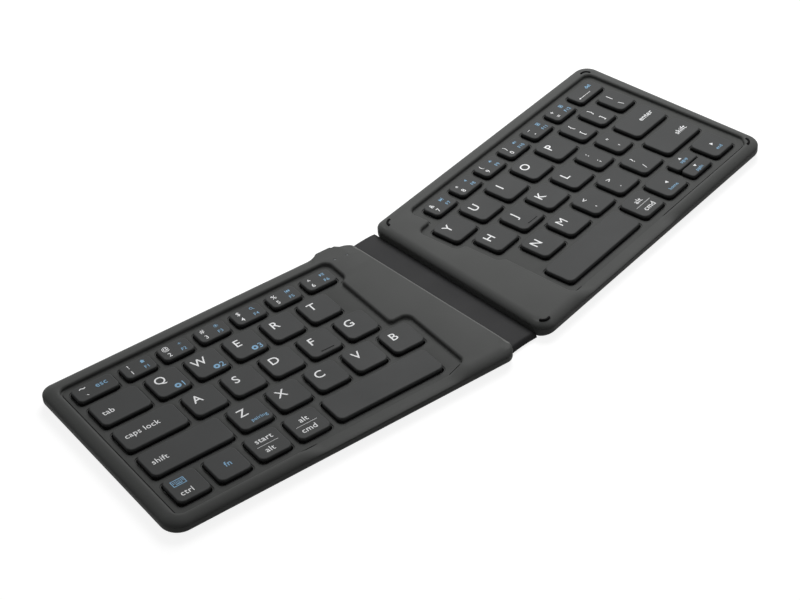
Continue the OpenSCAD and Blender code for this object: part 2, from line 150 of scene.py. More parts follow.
def rounded_loop(corners: Sequence[Spot3], step: float = 1.5, turn_step: float = 9.0) -> Points:
    """Draw an outline with rounded corners, counter-clockwise.

    Args:
        corners: place and radius of each corner.
        step: longest edge, in millimetres.
        turn_step: largest turn between neighbours in an arc, in degrees.

    Returns:
        The plan points of the closed loop.
    """
    spots = [np.array(corner[:2]) for corner in corners]
    rough: list[Points] = []
    for i, (*_, r) in enumerate(corners):
        came, goes = unit(spots[i] - spots[i - 1]), unit(spots[(i + 1) % len(spots)] - spots[i])
        turn = math.atan2(came[0] * goes[1] - came[1] * goes[0], float(came @ goes))
        start = spots[i] - came * (r * math.tan(abs(turn) / 2))
        centre = start + math.copysign(r, turn) * np.array([-came[1], came[0]])
        count = max(2, math.ceil(math.degrees(abs(turn)) / turn_step))
        rough.extend(centre + turned(*(start - centre), turn * k / count) for k in range(count + 1))
    out: list[Points] = []
    for a, b in zip(rough, rough[1:] + rough[:1]):
        count = max(1, math.ceil(np.linalg.norm(b - a) / step))
        out.extend(a + (b - a) * i / count for i in range(count))
    return np.array(out)


def loop_normals(points: Points) -> Points:
    """Outward directions of a counter-clockwise loop.

    Args:
        points: the loop.

    Returns:
        One direction per point.
    """
    along = np.roll(points, -1, axis=0) - np.roll(points, 1, axis=0)
    along /= np.linalg.norm(along, axis=1)[:, None]
    return np.stack([along[:, 1], -along[:, 0]], axis=1)


def spread(points: Points, gap: float) -> Points:
    """Move a loop outwards by gap, or inwards where it is negative."""
    return points + loop_normals(points) * gap


def inside(points: Points, loop: Points) -> Points:
    """Tell which points lie inside a closed loop.

    Args:
        points: plan points to test.
        loop: the closed loop.

    Returns:
        One truth value per point.
    """
    x, y = points[:, 0][:, None], points[:, 1][:, None]
    ax, ay = loop[:, 0][None], loop[:, 1][None]
    bx, by = np.roll(ax, -1), np.roll(ay, -1)
    rise = np.where(by == ay, 1e-12, by - ay)
    crosses = ((ay > y) != (by > y)) & (x < (bx - ax) * (y - ay) / rise + ax)
    return crosses.sum(axis=1) % 2 == 1


def line_distance(points: Points, line: Points) -> Points:
    """Measure the shortest distance to an open line.

    Args:
        points: plan points.
        line: the points of the line.

    Returns:
        One distance per point.
    """
    a, b = line[:-1], line[1:]
    d = b - a
    share = np.einsum("nmk,mk->nm", points[:, None] - a[None], d) / (d**2).sum(axis=1)
    near = a[None] + np.clip(share, 0, 1)[..., None] * d[None]
    return np.sqrt(((points[:, None] - near) ** 2).sum(axis=2)).min(axis=1)


def arc(x: float, y: float, r: float, angles: Points) -> Points:
    """Points about a middle at angles in radians."""
    return np.stack([x + r * np.cos(angles), y + r * np.sin(angles)], axis=1)


def circle(x: float, y: float, r: float, count: int) -> Points:
    """Points of a circle, counter-clockwise."""
    return arc(x, y, r, np.arange(count) * 2 * math.pi / count)


def arc_band(x: float, y: float, facing: float, low: float, high: float, half_sweep: float) -> Points:
    """Outline of a bent band with square ends, counter-clockwise.

    Args:
        x: centre.
        y: centre.
        facing: direction of the band's middle, in degrees.
        low: inner radius.
        high: outer radius.
        half_sweep: half of the angle it covers, in degrees.

    Returns:
        The plan points, 25 on each side.
    """
    a = np.radians(np.linspace(facing - half_sweep, facing + half_sweep, 25))
    return np.concatenate([arc(x, y, high, a), arc(x, y, low, a)[::-1]])


def box_loop(x0: float, y0: float, x1: float, y1: float) -> Points:
    """A rectangle's four corners, counter-clockwise."""
    return np.array([(x0, y0), (x1, y0), (x1, y1), (x0, y1)], float)


def rounded_rect(x: float, y: float, w: float, d: float, r: float, steps: int = 6) -> Points:
    """Draw a rectangle with rounded corners from its left front corner.

    Args:
        x: left side.
        y: front side.
        w: width.
        d: depth.
        r: corner radius.
        steps: steps in each corner's arc.

    Returns:
        The plan points, always 4 * (steps + 1) of them.
    """
    out = []
    middles = ((x + w - r, y + r), (x + w - r, y + d - r), (x + r, y + d - r), (x + r, y + r))
    for (cx, cy), start in zip(middles, (-90, 0, 90, 180)):
        for k in range(steps + 1):
            a = math.radians(start + 90 * k / steps)
            out.append((cx + r * math.cos(a), cy + r * math.sin(a)))
    return np.array(out)


def smooth_step(x: Points, low: float, high: float) -> Points:
    """Rise smoothly from 0 at low to 1 at high."""
    t = np.clip((x - low) / (high - low), 0, 1)
    return t * t * (3 - 2 * t)


# ---------------------------------------------------------------- meshes


class Surface:
    """Vertices and faces gathered for one piece, in millimetres on its grid."""

    def __init__(self) -> None:
        """Start with nothing."""
        self.points: list[Points] = []
        self.faces: list[tuple[int, ...]] = []
        self.tones: list[int] = []
        self.count = 0

    def add(self, points: Points | list) -> Points:
        """Add rows of x, y, z.

        Args:
            points: the rows.

        Returns:
            Their numbers in this surface.
        """
        points = np.asarray(points, float).reshape(-1, 3)
        self.points.append(points)
        self.count += len(points)
        return np.arange(self.count - len(points), self.count)

    def level(self, plan: Points, z: float | Points) -> Points:
        """Add a plan loop at a height, or at one height per point."""
        return self.add(np.column_stack([plan, np.broadcast_to(z, len(plan))]))

    def face(self, numbers: Points | list[int], tone: int = 0) -> None:
        """Add one face with its material slot."""
        self.faces.append(tuple(int(n) for n in numbers))
        self.tones.append(tone)

    def strip(self, low: Points, high: Points, tone: Tones = 0, closed: bool = True) -> None:
        """Join two equally long rows of points by a band of quads.

        Args:
            low: the row that lies to the right when walking with the outside on top.
            high: the other row.
            tone: material slot, or one per quad.
            closed: whether the rows are loops.
        """
        n = len(low)
        for i in range(n if closed else n - 1):
            j = (i + 1) % n
            self.face((low[i], low[j], high[j], high[i]), tone if isinstance(tone, int) else tone[i])

    def rings(self, loops: list[Points], tones: Tones = 0, down: bool = False) -> None:
        """Join each loop to the next one.

        Args:
            loops: loops that run upwards or inwards.
            tones: material slot, or one entry per band.
            down: whether they run the other way.
        """
        for i, (a, b) in enumerate(zip(loops, loops[1:])):
            self.strip(*((b, a) if down else (a, b)), tones if isinstance(tones, int) else tones[i])

    def cap(self, loop: Points, flip: bool = False, tone: int = 0) -> None:
        """Close a loop with one face."""
        self.face(loop[::-1] if flip else loop, tone)

    def tube(self, loops: list[Points], down: bool = False) -> None:
        """Join each loop to the next one and close both ends.

        Args:
            loops: loops that run upwards or inwards.
            down: whether they run the other way.
        """
        self.rings(loops, down=down)
        self.cap(loops[-1], flip=down)
        self.cap(loops[0], flip=not down)

    def lathe(self, x: float, y: float, profile: Sequence[Spot], count: int, down: bool = False) -> None:
        """Add a closed round shape from the radius and height of its rings."""
        self.tube([self.level(circle(x, y, r, count), z) for r, z in profile], down)

    def sheet(
        self, plan: Points, triangles: Points, z: float | Points, flip: bool = False, tone: int = 0
    ) -> None:
        """Add a triangulated plan region lifted to its heights.

        Args:
            plan: plan points.
            triangles: three point numbers each, counter-clockwise.
            z: height of the points.
            flip: whether the region faces down.
            tone: material slot.
        """
        numbers = self.level(plan, z)
        for tri in triangles:
            self.face(numbers[tri[::-1] if flip else tri], tone)

    def build(self, name: str, grid: Grid, dress: "list[Finish]") -> bpy.types.Object:
        """Make the object.

        Args:
            name: object name.
            grid: where the millimetres are measured.
            dress: one finish per material slot.

        Returns:
            The linked object, smooth shaded with its hard edges kept.
        """
        mesh = bpy.data.meshes.new(name)
        mesh.from_pydata(grid.place(np.concatenate(self.points)).tolist(), [], self.faces)
        for finish in dress:
            mesh.materials.append(finish.material())
        mesh.polygons.foreach_set("material_index", self.tones)
        bm = bmesh.new()
        bm.from_mesh(mesh)
        bmesh.ops.remove_doubles(bm, verts=bm.verts, dist=WELD)
        bmesh.ops.dissolve_degenerate(bm, edges=bm.edges, dist=WELD / 4)
        bm.to_mesh(mesh)
        bm.free()
        mesh.polygons.foreach_set("use_smooth", [True] * len(mesh.polygons))
        mesh.set_sharp_from_angle(angle=SHARP_ANGLE)
        return linked(name, mesh)


def linked(name: str, data: bpy.types.ID) -> bpy.types.Object:
    """Make an object of its data and link it to the scene.

    Args:
        name: object name.
        data: the mesh, curve, light or camera.

    Returns:
        The object.
    """
    obj = bpy.data.objects.new(name, data)
    bpy.context.scene.collection.objects.link(obj)
    return obj


def fill(outer: Points, holes: Sequence[Points] = (), free: Points | None = None) -> tuple[Points, Points]:
    """Triangulate the plan region inside one loop and outside some others.

    Args:
        outer: the closed loop round the region.
        holes: closed loops that are left open.
        free: further points to use.

    Returns:
        The plan points and the triangles, counter-clockwise.
    """
    verts: list[Vector] = []
    edges: list[tuple[int, int]] = []
    for loop in (outer, *holes):
        base = len(verts)
        verts.extend(Vector(p) for p in loop)
        edges.extend((base + i, base + (i + 1) % len(loop)) for i in range(len(loop)))
    if free is not None:
        verts.extend(Vector(p) for p in free)
    spots, _, faces, *_ = delaunay_2d_cdt(verts, edges, [], 0, 1e-5)
    plan = np.array([tuple(s) for s in spots])
    triangles = np.array([f for f in faces if len(f) == 3])
    a, b, c = (plan[triangles[:, i]] for i in range(3))
    area = np.abs((b[:, 0] - a[:, 0]) * (c[:, 1] - a[:, 1]) - (b[:, 1] - a[:, 1]) * (c[:, 0] - a[:, 0])) / 2
    triangles = triangles[area > SLIVER_AREA]
    middles = plan[triangles].mean(axis=1)
    kept = inside(middles, outer)
    for hole in holes:
        kept &= ~inside(middles, hole)
    return plan, triangles[kept]


def settle(obj: bpy.types.Object, body: str, slot: str, *nodes: str) -> None:
    """Let a finished piece ride its body and stand for its CAD nodes.

    Args:
        obj: the piece.
        body: the body it moves with.
        slot: not used.
        nodes: the CAD nodes it stands for.
    """
    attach(obj, body)
    if nodes:
        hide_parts(*nodes)
    log.info("%-26s rides %-12s %6d faces", obj.name, body, len(obj.data.polygons))


# ---------------------------------------------------------------- finishes


def linear(grey: float) -> float:
    """Turn one display value from 0 to 1 into scene light."""
    return grey / 12.92 if grey <= 0.04045 else ((grey + 0.055) / 1.055) ** 2.4


def shade(*levels: int) -> Colour:
    """Turn a display colour in three bytes into a linear colour with full cover."""
    return (*(linear(level / 255) for level in levels), 1.0)


class Nodes:
    """A node tree, with short calls to add nodes and feed them."""

    def __init__(self, tree: bpy.types.NodeTree) -> None:
        """Take a tree."""
        self.tree = tree

    def feed(self, node: bpy.types.Node, values: dict[str | int, Feed]) -> None:
        """Give a node's inputs their constants and links.

        Args:
            node: the node.
            values: a constant or another node's output for each input.
        """
        for key, value in values.items():
            if isinstance(value, bpy.types.NodeSocket):
                self.tree.links.new(value, node.inputs[key])
            else:
                node.inputs[key].default_value = value

    def add(self, kind: str, values: dict[str | int, Feed] | None = None, **options: str) -> bpy.types.Node:
        """Add a node.

        Args:
            kind: node type without its ShaderNode prefix.
            values: a constant or another node's output for each input.
            options: node properties.

        Returns:
            The node.
        """
        node = self.tree.nodes.new("ShaderNode" + kind)
        for key, value in options.items():
            setattr(node, key, value)
        self.feed(node, values or {})
        return node

    def span(self, value: Feed, low: float, high: float, start: float = 0.3, end: float = 0.7) -> Feed:
        """Map a value's range, from start to end, to another range."""
        limits = {"From Min": start, "From Max": end, "To Min": low, "To Max": high}
        return self.add("MapRange", {**limits, "Value": value}).outputs["Result"]

    def blend(self, factor: Feed, low: Feed, high: Feed) -> Feed:
        """Mix two colours by a factor and give the colour back."""
        return self.add("Mix", {0: factor, 6: low, 7: high}, data_type="RGBA").outputs[2]

    def seen_ray(self) -> Feed:
        """Tell how a ray comes.

        Returns:
            1 for rays from the camera, mirrored rays and rays through glass, else 0.
        """
        path = self.add("LightPath").outputs
        either = self.add("Math", {0: path["Is Camera Ray"], 1: path["Is Glossy Ray"]}, operation="MAXIMUM")
        values = {0: either.outputs[0], 1: path["Is Transmission Ray"]}
        return self.add("Math", values, operation="MAXIMUM").outputs[0]


class Shader(Nodes):
    """A material with one surface shader."""

    def __init__(self, name: str) -> None:
        """Start the material.

        Args:
            name: its name.
        """
        self.data = bpy.data.materials.new(name)
        self.data.use_nodes = True
        super().__init__(self.data.node_tree)
        self.surface = self.tree.nodes["Principled BSDF"]
        self.coords = self.add("TexCoord").outputs["Object"]

    def coat(self, values: dict[str | int, Feed]) -> None:
        """Feed the surface shader."""
        self.feed(self.surface, values)

    def noise(self, scale: float, detail: float, stretch: Spot3 | None = None) -> Feed:
        """Add a noise over the object's own coordinates.

        Args:
            scale: repeats per metre.
            detail: octaves.
            stretch: scale along each axis, where the noise runs in one direction.

        Returns:
            The noise, from 0 to 1.
        """
        place = self.coords
        if stretch:
            place = self.add("Mapping", {"Scale": stretch, "Vector": place}).outputs["Vector"]
        return self.add("TexNoise", {"Scale": scale, "Detail": detail, "Vector": place}).outputs["Fac"]

    def bump(self, height: Feed, depth: float) -> None:
        """Raise the surface by a height map whose full height is given in metres."""
        node = self.add("Bump", {"Strength": 0.5, "Distance": depth, "Height": height})
        self.coat({"Normal": node.outputs["Normal"]})


@dataclass(frozen=True)
class Finish:
    """What every finish has: a name and a colour."""

    name: str
    colour: Colour

    def material(self) -> bpy.types.Material:
        """Give the material, made on first use.

        Returns:
            The material.
        """
        made = bpy.data.materials.get(self.name)
        if made:
            return made
        shader = Shader(self.name)
        self.dress(shader)
        return shader.data

    def tint(self, factor: float) -> Colour:
        """The colour made lighter or darker."""
        return tuple(min(1.0, c * factor) for c in self.colour[:3]) + (1.0,)

    def dress(self, shader: Shader) -> None:
        """Set the shader up for this finish."""
        raise NotImplementedError


@dataclass(frozen=True)
class MattePlastic(Finish):
    """Moulded plastic or rubber with fine grain."""

    roughness: float = 0.6
    sheen: float = 0.12
    grain: float = 0.000012
    grain_scale: float = 9000.0

    def dress(self, shader: Shader) -> None:
        """Vary the colour and gloss a little and add the grain.

        Args:
            shader: the shader to set up.
        """
        cloud, fine = shader.noise(60.0, 4.0), shader.noise(self.grain_scale, 2.0)
        shader.coat({
            "Base Color": shader.blend(cloud, self.tint(0.94), self.tint(1.06)),
            "Roughness": shader.span(cloud, self.roughness - 0.03, self.roughness + 0.03),
            "Specular IOR Level": self.sheen,
        })
        shader.bump(fine, self.grain)


@dataclass(frozen=True)
class Ink(Finish):
    """Printed legend ink, a little uneven."""

    def dress(self, shader: Shader) -> None:
        """Vary the ink's density over each character.

        Args:
            shader: the shader to set up.
        """
        cloud = shader.noise(1500.0, 3.0)
        shader.coat({"Base Color": shader.blend(cloud, self.tint(0.94), self.tint(1.04)), "Roughness": 0.6})
        shader.bump(cloud, 0.000004)


@dataclass(frozen=True)
class Metal(Finish):
    """Drawn, rolled or blackened steel."""

    roughness: float = 0.3
    along: Spot3 = (1.0, 40.0, 40.0)

    def dress(self, shader: Shader) -> None:
        """Run fine lines along the metal.

        Args:
            shader: the shader to set up.
        """
        lines = shader.noise(400.0, 5.0, self.along)
        shader.coat({
            "Metallic": 1.0,
            "Base Color": shader.blend(lines, self.tint(0.85), self.tint(1.1)),
            "Roughness": shader.span(lines, self.roughness - 0.08, self.roughness + 0.08),
        })
        shader.bump(lines, 0.000003)


@dataclass(frozen=True)
class Film(Finish):
    """Thin film with printed tracks."""

    track: Colour
    bands: float
    roughness: float = 0.3

    def dress(self, shader: Shader) -> None:
        """Lay the tracks as bands across the film.

        Args:
            shader: the shader to set up.
        """
        values = {"Scale": self.bands, "Distortion": 0.6, "Detail": 1.0, "Vector": shader.coords}
        wave = shader.add("TexWave", values, bands_direction="Y").outputs["Fac"]
        shader.coat({"Base Color": shader.blend(wave, self.colour, self.track), "Roughness": self.roughness})
        shader.bump(wave, 0.000008)


@dataclass(frozen=True)
class Board(Finish):
    """Solder mask over copper tracks."""

    def dress(self, shader: Shader) -> None:
        """Show the tracks as lighter cells under the mask.

        Args:
            shader: the shader to set up.
        """
        values = {"Scale": 700.0, "Vector": shader.coords}
        cells = shader.add("TexVoronoi", values, feature="DISTANCE_TO_EDGE")
        edge = shader.span(cells.outputs["Distance"], 1.0, 0.0, 0.0, 0.12)
        shader.coat({"Base Color": shader.blend(edge, self.colour, self.tint(2.2)), "Roughness": 0.35})
        shader.bump(edge, 0.00002)


@dataclass(frozen=True)
class ClearLens(Finish):
    """A light pipe of clouded clear plastic."""

    def dress(self, shader: Shader) -> None:
        """Cloud the plastic and let some light through.

        Args:
            shader: the shader to set up.
        """
        cloud = shader.noise(2500.0, 3.0)
        shader.coat({
            "Base Color": shader.blend(cloud, self.tint(0.85), self.tint(1.1)),
            "Roughness": 0.5,
            "Specular IOR Level": 0.3,
            "Transmission Weight": 0.35,
        })


COVER = MattePlastic("cover plastic", shade(74, 75, 74))
# Painted shade: the deck in the sunken well is a darker copy of the cover plastic, for the shade it lies in
SHADED_DECK = MattePlastic("deck plastic", shade(67, 68, 67))
# Painted shade: near-black cover plastic for the groove at the well's foot and the step walls round the
# windows, which lie in shade
COVER_SHADE = MattePlastic("cover edge plastic", shade(34, 34, 35))
# Painted highlight: a pale copy of the cover plastic on the crisp edge at the spine, where light catches it
PAINTED_HIGHLIGHT = MattePlastic("worn edge plastic", shade(104, 105, 103), roughness=0.5)
KEY_TOP = MattePlastic("key top plastic", shade(64, 65, 65), roughness=0.58, grain=0.000009)
# Painted shade: a near-black copy of the key plastic for the key sides, which lie in shade
KEY_SIDE_SHADE = MattePlastic("key skirt plastic", shade(14, 14, 15), grain=0.000009)
SPINE_RUBBER = MattePlastic("spine rubber", shade(38, 38, 39), 0.62, grain=0.000006, grain_scale=14000.0)
FOOT_RUBBER = MattePlastic("foot rubber", shade(34, 34, 35), 0.75, grain=0.00002, grain_scale=5000.0)
STOP_RUBBER = MattePlastic("stop rubber", shade(9, 9, 10), roughness=0.7, sheen=0.04)
DOME_RUBBER = MattePlastic("dome rubber", shade(198, 198, 190), roughness=0.5)
LINK_PLASTIC = MattePlastic("link plastic", shade(224, 223, 216), roughness=0.45)
FOIL = MattePlastic("battery foil", shade(150, 152, 155), 0.35, grain=0.00003, grain_scale=1200.0)
WHITE_INK = Ink("white ink", shade(244, 245, 246))
BLUE_INK = Ink("blue ink", shade(120, 170, 205))
SHEET_STEEL = Metal("sheet steel", shade(160, 161, 163), roughness=0.35)
PIN_STEEL = Metal("pin steel", shade(185, 186, 188), roughness=0.25, along=(40.0, 1.0, 40.0))
SCREW_STEEL = Metal("screw steel", shade(62, 62, 64), roughness=0.4)
SOCKET_STEEL = Metal("socket steel", shade(176, 178, 180))
GOLD = Metal("contact gold", shade(214, 178, 98), roughness=0.25)
CABLE_FILM = Film("cable film", shade(30, 29, 28), shade(20, 19, 18), 350.0)
MEMBRANE_FILM = Film("membrane film", shade(168, 178, 170), shade(120, 128, 124), 120.0, roughness=0.4)
SOLDER_MASK = Board("solder mask", shade(24, 84, 52))
LIGHT_PIPE = ClearLens("light pipe", shade(88, 94, 98))

TOP_DRESS = [COVER, COVER_SHADE, SHADED_DECK, PAINTED_HIGHLIGHT]
CAP_DRESS = [KEY_TOP, KEY_SIDE_SHADE]
SOCKET_DRESS = [SOCKET_STEEL, STOP_RUBBER, GOLD]


class TopSlot(IntEnum):
    """Where a top cover has which of its finishes."""

    # After the plain cover come painted shade, the deck darkened as painted shade, and a painted highlight at
    # the spine's edge
    PLAIN, EDGE, FLAT, WORN = range(4)


class CapSlot(IntEnum):
    """Where a key cap has which of its finishes."""

    # The second slot is the painted shade on the key sides
    CROWN, SKIRT = range(2)


class SocketSlot(IntEnum):
    """Where the charging socket has which of its finishes."""

    SHELL, TONGUE, CONTACT = range(3)


# ---------------------------------------------------------------- halves


@dataclass(frozen=True)
class Heights:
    """Levels that the covers and the keys share, in millimetres above the desk."""

    foot: float = 0.7
    side_low: float = 3.0
    seam: float = 4.9
    edge: float = 5.2
    ledge: float = 5.3
    deck: float = 5.6
    deck_under: float = 4.6
    top: float = 7.4


@dataclass(frozen=True)
class KeySpot:
    """One key on its grid: its left front corner, its size and its node."""

    name: str
    x: float
    y: float
    w: float
    d: float
    node: str


Z = Heights()
RIM_BEND = 1.7
RIM_RUN = 5.2
LOW_RIM_POWER = 0.6
LEAST_CORNER = 0.8
SCOOP_RAMP = 11.0
# The rim's rounding over the charging socket: its width, the ramps beside it, and the line it lies behind
BOSS_RUN, BOSS_RAMPS, BOSS_BACK = 0.4, (5.0, 3.0), 60.0
SEAM_STEP = ((0.30, 0.01), (0.10, 0.03), (0.0, 0.12))
HALF_WALL = 7.4
PITCH = 18.0
CAP = 14.6
SHORT = 9.2
NUMBER_ROW = 71.8
HALF_KEY = 7.05
ARC_STEPS = 16


def key_run(letters: str, start: float, row: int) -> list[KeySpot]:
    """Lay one row of letter keys a pitch apart, from a left side in pitches."""
    return [KeySpot(c, (start + i) * PITCH, row * PITCH, CAP, CAP, "key_" + c) for i, c in enumerate(letters)]


def key_at(
    name: str, start: float, width: float, row: int, node: str, depth: float = CAP, lift: float = 0.0
) -> KeySpot:
    """Place one key that has its own width.

    Args:
        name: the key's name.
        start: left side, in pitches.
        width: width in pitches, or 0 for a letter key's width.
        row: row number from the front; 4 is the number row.
        node: the CAD node that it belongs to.
        depth: depth in millimetres.
        lift: distance from the row's front line, in millimetres.

    Returns:
        The key's place.
    """
    y = NUMBER_ROW if row == 4 else row * PITCH + lift
    return KeySpot(name, start * PITCH, y, width * PITCH or CAP, SHORT if row == 4 else depth, node)


def number_run(first: int, start: float, node: str) -> list[KeySpot]:
    """Lay six number keys, from a left side in pitches."""
    return [key_at(f"number_{first + i}", start + 0.96 * i, 0.78, 4, node) for i in range(6)]


WIDE, BANK, ARROWS = "keys_modifiers_left", "keys_symbols_right", "keys_arrows"
LEFT_KEYS = [
    key_at("ctrl", -1.62, 0, 0, WIDE),
    key_at("fn", -0.62, 0, 0, WIDE),
    key_at("option", 0.39, 0, 0, WIDE),
    key_at("command", 1.39, 0, 0, WIDE),
    key_at("space_left", 2.39, 2.78, 0, "key_space_left"),
    key_at("shift_left", -1.62, 2.03, 1, WIDE),
    key_at("caps_lock", -1.63, 1.53, 2, WIDE),
    key_at("tab", -1.63, 1.22, 3, WIDE),
    key_at("escape", -1.66, 1.02, 4, "keys_numbers_left"),
    *key_run("zxcvb", 0.60, 1),
    *key_run("asdfg", 0.09, 2),
    *key_run("qwert", -0.22, 3),
    *number_run(1, -0.45, "keys_numbers_left"),
]
RIGHT_KEYS = [
    key_at("space_right", -0.87, 2.79, 0, "key_space_right"),
    key_at("command_right", 2.11, 0, 0, BANK),
    key_at("arrow_left", 3.10, 0, 0, ARROWS),
    key_at("arrow_down", 4.11, 0, 0, ARROWS, HALF_KEY),
    key_at("arrow_up", 4.11, 0, 0, ARROWS, HALF_KEY, CAP - HALF_KEY),
    key_at("arrow_right", 5.10, 0.79, 0, ARROWS),
    key_at("shift_right", 4.53, 1.41, 1, BANK),
    key_at("semicolon", 3.06, 0.64, 2, BANK),
    key_at("quote", 3.89, 0.61, 2, BANK),
    key_at("enter", 4.69, 1.27, 2, "key_enter"),
    key_at("bracket_left", 3.78, 0.63, 3, BANK),
    key_at("bracket_right", 4.60, 0.61, 3, BANK),
    key_at("backslash", 5.40, 0.63, 3, BANK),
    key_at("comma", 1.53, 0, 1, BANK),
    key_at("period", 2.53, 0, 1, BANK),
    key_at("slash", 3.53, 0, 1, BANK),
    key_at("backspace", 5.07, 0.98, 4, "keys_numbers_right"),
    *key_run("nm", -0.47, 1),
    *key_run("hjkl", -0.945, 2),
    *key_run("yuiop", -1.225, 3),
    *number_run(7, -0.70, "keys_numbers_right"),
]


@dataclass(frozen=True)
class Half:
    """Plan and fittings of one half."""

    side: Side
    grid: Grid
    outline: tuple[Spot, ...]
    radii: tuple[float, ...]
    hinge_side: int
    well: tuple[Spot3, ...]
    scoop: Spot
    screws: tuple[Spot, ...]
    feet: tuple[Spot, ...]
    keys: list[KeySpot]
    hinge_run: float
    boss: Spot | None = None
    lights: tuple[Spot, ...] = ()
    stops: tuple[Spot3, ...] = ()
    side_counts: tuple[int, ...] = (150, 60, 150, 60)

    @property
    def crisp(self) -> bool:
        """Whether the edge at the spine is crisp enough to carry a painted highlight."""
        return self.hinge_run < 1

    @property
    def hinge_span(self) -> tuple[int, int]:
        """First and last point of the spine's side in every ring."""
        begin = sum(self.side_counts[: self.hinge_side]) + ARC_STEPS * (self.hinge_side + 1)
        return begin, begin + self.side_counts[self.hinge_side]

    def banks(self) -> dict[str, list[KeySpot]]:
        """Gather the keys by their CAD nodes.

        Returns:
            The keys of each node.
        """
        nodes: dict[str, list[KeySpot]] = {}
        for key in self.keys:
            nodes.setdefault(key.node, []).append(key)
        return nodes

    def ring(self, outer_gap: float, hinge_gap: float) -> Points:
        """Draw the outline taken in by one gap, with another one at the spine.

        Args:
            outer_gap: how far the three outer sides move in.
            hinge_gap: how far the side at the spine moves in.

        Returns:
            Plan points; every ring of one half has the same number of them.
        """
        spots = [np.array(p) for p in self.outline]
        gaps = [hinge_gap if i == self.hinge_side else outer_gap for i in range(4)]
        arcs = []
        for i in range(4):
            came, goes = unit(spots[i] - spots[i - 1]), unit(spots[(i + 1) % 4] - spots[i])
            r = max(self.radii[i] - max(outer_gap, hinge_gap), LEAST_CORNER)
            turn = came[0] * goes[1] - came[1] * goes[0]
            centre = spots[i] + (goes * (gaps[i - 1] + r) - came * (gaps[i] + r)) / turn
            sweep = math.atan2(turn, float(came @ goes)) * np.arange(ARC_STEPS + 1) / ARC_STEPS
            arcs.append(arc(*centre, r, math.atan2(-came[0], came[1]) + sweep))
        out = []
        for i, n in enumerate(self.side_counts):
            a, b = arcs[i][-1], arcs[(i + 1) % 4][0]
            out += [arcs[i], a + (b - a) * (np.arange(1, n) / n)[:, None]]
        return np.concatenate(out)

    def rim_height(self, plan: Points) -> Points:
        """Measure the rim's flat, which dips to the deck in front of the space bar.

        Args:
            plan: plan points.

        Returns:
            Its height at each of them.
        """
        low, high = self.scoop
        x, y = plan[:, 0], plan[:, 1]
        dip = smooth_step(x, low - SCOOP_RAMP, low) * (1 - smooth_step(x, high, high + SCOOP_RAMP))
        return Z.top - (Z.top - Z.deck) * dip * (y < 0)

    def rim_run(self, plan: Points, full: Points) -> Points:
        """Measure the outer rounding's width.

        Args:
            plan: plan points.
            full: rim height at the same points.

        Returns:
            The width, small where the rim is low and over the charging socket.
        """
        run = RIM_RUN * ((full - Z.edge) / (Z.top - Z.edge)) ** LOW_RIM_POWER
        if self.boss:
            (low, high), (before, after) = self.boss, BOSS_RAMPS
            x, y = plan[:, 0], plan[:, 1]
            over = smooth_step(x, low - before, low) * (1 - smooth_step(x, high, high + after))
            over = over * (y > BOSS_BACK)
            run = run * (1 - over) + BOSS_RUN * over
        return run

    def lift(self, plan: Points, gap: float | Points) -> Points:
        """Measure the top cover's outside.

        Args:
            plan: plan points.
            gap: how far each lies inside the outline.

        Returns:
            Their heights.
        """
        full = self.rim_height(plan)
        share = np.clip(gap / self.rim_run(plan, full), 0, 1)
        return Z.edge + (full - Z.edge) * (1 - (1 - share) ** RIM_BEND) ** (1 / RIM_BEND)

    def gap_of(self, plan: Points) -> Points:
        """Measure how far points lie inside the outline, with the spine side counted on the outer scale.

        Args:
            plan: plan points.

        Returns:
            One distance per point.
        """
        ring = self.ring(0, 0)
        begin, end = self.hinge_span
        outer = np.concatenate([ring[end:], ring[: begin + 1]])
        to_hinge = line_distance(plan, ring[begin : end + 1])
        return np.minimum(line_distance(plan, outer), to_hinge * RIM_RUN / self.hinge_run)


FRONT, BACK = -9.2, 91.0
LEFT_WALL = [(LEFT_GRID.wall_x(-HALF_WALL, y), y) for y in (FRONT, BACK)]
RIGHT_WALL = [(RIGHT_GRID.wall_x(HALF_WALL, y), y) for y in (FRONT, BACK)]
LEFT = Half(
    side=Side.LEFT,
    grid=LEFT_GRID,
    outline=((-39.0, FRONT), *LEFT_WALL, (-39.0, BACK)),
    radii=(8.0, 5.0, 6.0, 6.0),
    hinge_side=1,
    well=(
        *((-33.2, -4.2, 3.4), (92.4, -4.2, 3.4), (101.1, -1.4, 3.4), (101.1, 35.8, 3.4), (92.4, 35.8, 2.0)),
        *((92.4, 69.43, 2.0), (95.3, 70.94, 3.4), (95.3, 84.4, 3.4), (-33.2, 84.4, 3.4)),
    ),
    scoop=(31.0, 90.0),
    screws=((-34.3, 6.0), (-34.3, 76.0), (34.0, 86.3), (109.0, 14.0), (6.0, -4.5), (107.8, 77.8)),
    feet=((-29.0, 0.0), (-29.0, 82.0), (104.0, 0.0), (100.0, 72.0)),
    keys=LEFT_KEYS,
    hinge_run=0.7,
    boss=(94.0, 103.4),
    lights=((98.5, 83.2), (104.3, 82.4)),
)
